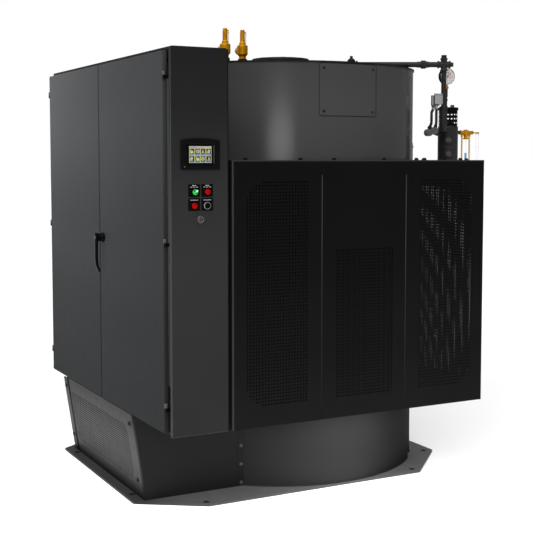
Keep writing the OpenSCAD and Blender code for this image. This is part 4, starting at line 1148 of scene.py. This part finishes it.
for x, y, w_, h_ in ((-5, 17, 7, 5), (13.5, -9.5, 9, 6)):
    b.add(prism([(x + q[0], y + q[1]) for q in rrect(w_, h_, 1.4, 3)], 28.1, 28.5), 3, g)
b.add(prism([(-10, -2.4), (-10, 2.4), (20, 1.3), (27, 0.0), (20, -1.3)], 29.4, 30.4), 2, g @ Matrix.Rotation(math.radians(47), 4, "Z"))
b.add(lathe(soften([(0, 28), (4.6, 28), (4.6, 31), (0, 31.8)], 0.6), 24), 2, g)
make("pressure_gauge_dial", b, [M_GLOSS, M_DIAL, M_DIALBLK, M_DIALRED, M_RING], replaces=("pressure_gauge",))
b = Build()
b.add(lathe([(0, 33.0), (40.2, 33.0), (40.2, 34.0), (0, 34.3)], 64), 0, g)
make("pressure_gauge_window", b, [M_GLASS])

b = Build()
sx = at(858, -356, 0)
b.add(lathe(soften([(0, 1998), (6.8, 1998), (6.8, 2009.5), (0, 2009.5)], 0.8), 28), 0, sx)
b.add(prism(ngon(11, 6, 0.4), 1988, 2002, 1.4, 2), 0, sx)
b.add(lathe(soften([(0, 1942), (6.4, 1942), (7, 1944), (7, 1986), (6.2, 1988.4), (0, 1988.4)], 0.8), 28), 1, sx)
b.add(rod(4.8, 1886.2, 1944, 0.5, 24), 1, sx)
b.add(prism(ngon(8), 1922, 1932, 1.0, 2), 1, sx)
b.add(prism(ngon(8), 1886.2, 1894, 1.0, 2), 1, sx)
make("gauge_siphon_stem", b, [M_BRASS, M_IRON], replaces=("gauge_siphon",))

# two pressure switches, one behind the other, with their conduits
b = Build()
for x0, x1, y0, y1, z0, z1 in ((721, 771, -441, -427, 1896, 1955), (715, 765, -422, -407, 1889, 1946)):
    b.add(rbox((x0 + 1.5, y0 + 4, z0), (x1 - 1.5, y1, z1), 2.4, 3), 4)
    b.add(rbox((x0, y0, z0 + 1), (x1, y0 + 5, z1 - 1), 1.8, 3))
    for x in (x0 + 5.5, x1 - 5.5):
        for z in (z0 + 6.5, z1 - 6.5):
            button_screw(b, (x, y0, z), (0, -1, 0), 2.2, 1.3, 1, 1)
b.add(rbox((727, -441.4, 1946.4), (765, -440.6, 1948), 0.2, 1), 4)
b.add(rbox((728, -428, 1902), (764, -418, 1940), 2.0, 2), 3)
b.add(rod(6.5, 10, 793.3 - 746 - 13.9, 0.5, 24), 3, along((746, -418, 1925), (1, 0, 0)))
b.add(prism(ngon(10), 22, 29, 1.0, 2), 3, along((746, -418, 1925), (1, 0, 0)))
make("pressure_switch_cases", b, [M_CAST, M_SCREW, M_ZINC, M_HUB, M_CABIN], replaces=("switch_box",))

b = Build()


def conduit(b, path, r=7.4):
    """Flexible ribbed conduit: a sleeve with a ring on every rib."""
    pts = [Vector(p) for p in path]
    step, out = 1.1, []
    for a, c2 in zip(pts, pts[1:]):
        n = max(1, int((c2 - a).length / step))
        out += [a.lerp(c2, k / n) for k in range(n)]
    out.append(pts[-1])
    scl = [1.0 + 0.11 * math.cos(TAU * k / 4) for k in range(len(out))]
    b.add(sweep([tuple(p) for p in out], ngon(r, 16), scales=scl), 0)


conduit(b, soften([(734, -434, 1884), (734, -434, 1795), (728, -430.5, 1767)], 12, 6))
conduit(b, soften([(727, -414, 1880), (727, -414, 1870), (717, -414, 1856), (717, -414, 1796), (693, -421.6, 1760)], 9, 6))
for o in ((734, -434, 1896), (727, -414, 1889)):
    b.add(prism(ngon(9.6), 0, 6, 0.8, 2), 2, along(o, (0, 0, -1)))
    b.add(lathe(soften([(0, 5), (8.4, 5), (8.4, 20), (7.6, 22), (0, 22)], 0.8), 28), 3, along(o, (0, 0, -1)))
for o, d in (((729.4, -431.4, 1774), (0.25, -0.12, 0.95)), ((700, -419.2, 1769.4), (0.56, 0.13, 0.82))):
    b.add(prism(ngon(11), -4, 6, 1.0, 2), 2, along(o, d))
    b.add(lathe(soften([(0, 5), (9.6, 5), (9.6, 11), (8, 13), (0, 13)], 0.8), 28), 2, along(o, d))
for x, z in ((688.0, 1745.0), (724.0, 1756.0)):
    xf = along((x, -442, z), (0, 1, 0))
    b.add(lathe(soften([(0, 1.0), (14.5, 1.0), (15.5, 0), (18, 0), (19, 2), (19, 7.4), (18.2, 8.0), (18.2, 9.0), (19, 9.6), (19, 31), (16.5, 33.5), (0, 33.5)], 0.8), 48), 1, xf)
    b.add(lathe(soften([(0, -0.4), (5, -0.4), (5, 1.4), (0, 1.4)], 0.4), 24), 1, xf)
p0, p1, p2 = Vector((688, -406, 1745)), Vector((724, -406, 1748)), Vector((846, -366, 1726))
b.add(rod(10.6, 0, (p1 - p0).length, 0.6, 28), 0, along(p0, p1 - p0))
b.add(rod(9.6, 0, (p2 - p1).length - 26, 0.6, 28), 0, along(p1, p2 - p1))
make("switch_conduit_run", b, [M_IRON, M_HUB, M_SCREW, M_ZINC], replaces=("switch_conduits",))

# gauge glass set: two cocks, guard rods, glass, clear shield
b = Build()
for z, up in ((1750.0, 1), (1490.0, -1)):
    k = at(991, -360, z) @ Matrix.Diagonal((1, 1, up, 1))
    b.add(lathe(soften([(0, 13), (14.6, 13), (16.6, 11), (16.6, -8), (15.4, -12), (11.4, -22), (10.6, -29), (16, -30.4), (16, -36.2), (14.6, -37), (0, -37)], 1.0), 48), 0, k)
    b.add(prism(ngon(9.5), 12.4, 17, 0.9, 2), 0, k)
    h = along((991, -360, z), (1, 0, 0))
    b.add(prism(ngon(13, 6, 0.5), -44, -29, 1.6, 2), 0, h)
    b.add(lathe(soften([(0, -32), (9.6, -32), (8.4, -27), (8.4, 20), (9.8, 29), (10.2, 32), (10.2, 47), (7, 51.5), (0, 51.5)], 1.2), 40), 0, h)
    b.add(rod(2.9, 50, 84, 0.5, 20), 0, h)
    b.add(lathe(soften([(0, 80.5), (3.6, 80.5), (5.2, 83), (5.2, 88), (3.2, 91), (0, 91)], 1.2), 24), 2, h)
    b.add(rod(9.5, -80, -43, 0.8, 32), 1, h)
    for x in (964.0, 1016.0):
        b.add(lathe(soften([(0, -3), (7, -3), (7, -13.4), (5.4, -16), (0, -16)], 0.8), 28), 0, at(x, -360, z) @ Matrix.Diagonal((1, 1, up, 1)))
    for x in (1063.0, 1079.0):
        b.add(rbox((x - 2.6, -363, z - 9 if up > 0 else z - 2), (x + 2.6, -357, z + 2 if up > 0 else z + 9), 1.0, 2), 3)
make("gauge_cock_set", b, [M_BRASS, M_IRON, M_COPPER, M_ZINC], replaces=("gauge_cocks",))
b = Build()
for x in (964.0, 1016.0):
    b.add(rod(4.6, 1506, 1734, 0.6, 24), 0, at(x, -360, 0))
    for z in (1512, 1728):
        b.add(prism(ngon(7.2), z - 3.5, z + 3.5, 0.7, 2), 0, at(x, -360, 0))
make("gauge_guard_rods", b, [M_ROD], replaces=("guard_rods",))
b = Build()
gx = at(991, -360, 0)
b.add(lathe([(6.4, 1527.5), (7.7, 1527.5), (8, 1528), (8, 1712), (7.7, 1712.5), (6.4, 1712.5)], 32, closed=True), 0, gx)
b.add(rbox((1063.2, -360.8, 1500), (1078.8, -359.2, 1740), 0.4, 1), 0)
for x in (1063.0, 1079.0):
    b.add(rbox((x - 1.0, -361.4, 1499.4), (x + 1.0, -358.6, 1740.6), 0.5, 1), 1)
make("sight_glass_tube", b, [M_GLASS, M_EDGE], replaces=("gauge_glass",))
b = Build()
b.add(lathe([(0, 1528), (6.1, 1528), (6.1, 1636), (5.4, 1637.2), (0, 1636.2)], 28), 0, gx)
make("sight_glass_water", b, [M_WATER])

# ---------------------------------------------------------------- studio
floor_me = bpy.data.meshes.new("studio_floor")
S = 80.0
floor_me.from_pydata([(-S, -S, -0.0006), (S, -S, -0.0006), (S, S, -0.0006), (-S, S, -0.0006)], [], [(0, 1, 2, 3)])
floor_me.materials.append(M_FLOOR)
floor = bpy.data.objects.new("studio_floor", floor_me)
bpy.context.scene.collection.objects.link(floor)

scene = bpy.context.scene
world = bpy.data.worlds.new("studio")
scene.world = world
world.use_nodes = True
wt = world.node_tree
wt.nodes.clear()
w_out = wt.nodes.new("ShaderNodeOutputWorld")
w_mix = wt.nodes.new("ShaderNodeMixShader")
w_path = wt.nodes.new("ShaderNodeLightPath")
w_soft = wt.nodes.new("ShaderNodeBackground")
w_white = wt.nodes.new("ShaderNodeBackground")
w_soft.inputs["Color"].default_value = (1.0, 1.0, 1.0, 1.0)
w_white.inputs["Color"].default_value = (1.0, 1.0, 1.0, 1.0)
w_white.inputs["Strength"].default_value = 1.0
# the room is brighter on the door side than on the far right
w_dir = wt.nodes.new("ShaderNodeTexCoord")
w_xyz = wt.nodes.new("ShaderNodeSeparateXYZ")
w_map = wt.nodes.new("ShaderNodeMapRange")
w_map.inputs["From Min"].default_value = -1.0
w_map.inputs["From Max"].default_value = 1.0
w_map.inputs["To Min"].default_value = 0.40
w_map.inputs["To Max"].default_value = 0.16
wt.links.new(w_dir.outputs["Generated"], w_xyz.inputs["Vector"])
wt.links.new(w_xyz.outputs["X"], w_map.inputs["Value"])
wt.links.new(w_map.outputs["Result"], w_soft.inputs["Strength"])
wt.links.new(w_path.outputs["Is Camera Ray"], w_mix.inputs["Fac"])
wt.links.new(w_soft.outputs["Background"], w_mix.inputs[1])
wt.links.new(w_white.outputs["Background"], w_mix.inputs[2])
wt.links.new(w_mix.outputs["Shader"], w_out.inputs["Surface"])


def area(name, loc, target, size, size_y, watts, shape="RECTANGLE"):
    d = bpy.data.lights.new(name, "AREA")
    d.shape = shape
    d.size, d.size_y, d.energy = size, size_y, watts
    o = bpy.data.objects.new(name, d)
    bpy.context.scene.collection.objects.link(o)
    o.location = loc
    o.rotation_euler = (Vector(target) - Vector(loc)).to_track_quat("-Z", "Y").to_euler()
    o.visible_camera = False
    return o


key = area("key_left", (-2.2, 2.3, 3.0), (-1.05, 0.3, 1.5), 1.0, 1.0, 38)
key.visible_glossy = False
key.data.spread = math.radians(70)
key.data.use_shadow = False
# nested soft discs, so that the highlight on the jacket fades at its sides
for nm, w_, h_, watts in (("front_lamp_wide", 2.2, 0.42, 10.5), ("front_lamp_mid", 1.45, 0.30, 5.6), ("front_lamp_core", 0.80, 0.20, 2.2)):
    area(nm, (-2.5, -5.15, 1.78), (-0.33, -0.645, 1.70), w_, h_, watts, "ELLIPSE")
for nm, x, y, w_, h_, watts in (("under_fill_left", -0.74, -0.97, 0.50, 0.10, 2.0), ("under_fill_mid", -0.03, -0.92, 0.56, 0.18, 3.8)):
    under = area(nm, (x, y, 0.405), (x, y, 0.0), w_, h_, watts)
    under.visible_glossy = False
sun = bpy.data.lights.new("top_soft", "SUN")
sun.energy = 3.6
sun.angle = math.radians(74)
sun_o = bpy.data.objects.new("top_soft", sun)
scene.collection.objects.link(sun_o)
sun_o.rotation_euler = Vector((0.38, 0.39, -0.84)).to_track_quat("-Z", "Y").to_euler()

cam = bpy.data.cameras.new("photo_camera")
cam_o = bpy.data.objects.new("photo_camera", cam)
scene.collection.objects.link(cam_o)
cam_o.location = (-2.78915, -5.2032, 1.60447)
cam_o.rotation_euler = Vector((0.4619, 0.8838, -0.0739)).to_track_quat("-Z", "Y").to_euler()
cam.sensor_fit = "VERTICAL"
cam.sensor_height = 36.0
cam.lens = 71.948
cam.shift_x = 0.0
cam.shift_y = -0.0587
cam.dof.use_dof = False
cam.clip_end = 200.0
scene.camera = cam_o
scene.view_settings.view_transform = "Standard"
scene.view_settings.look = "None"
scene.view_settings.exposure = 0.0
scene.view_settings.gamma = 1.0
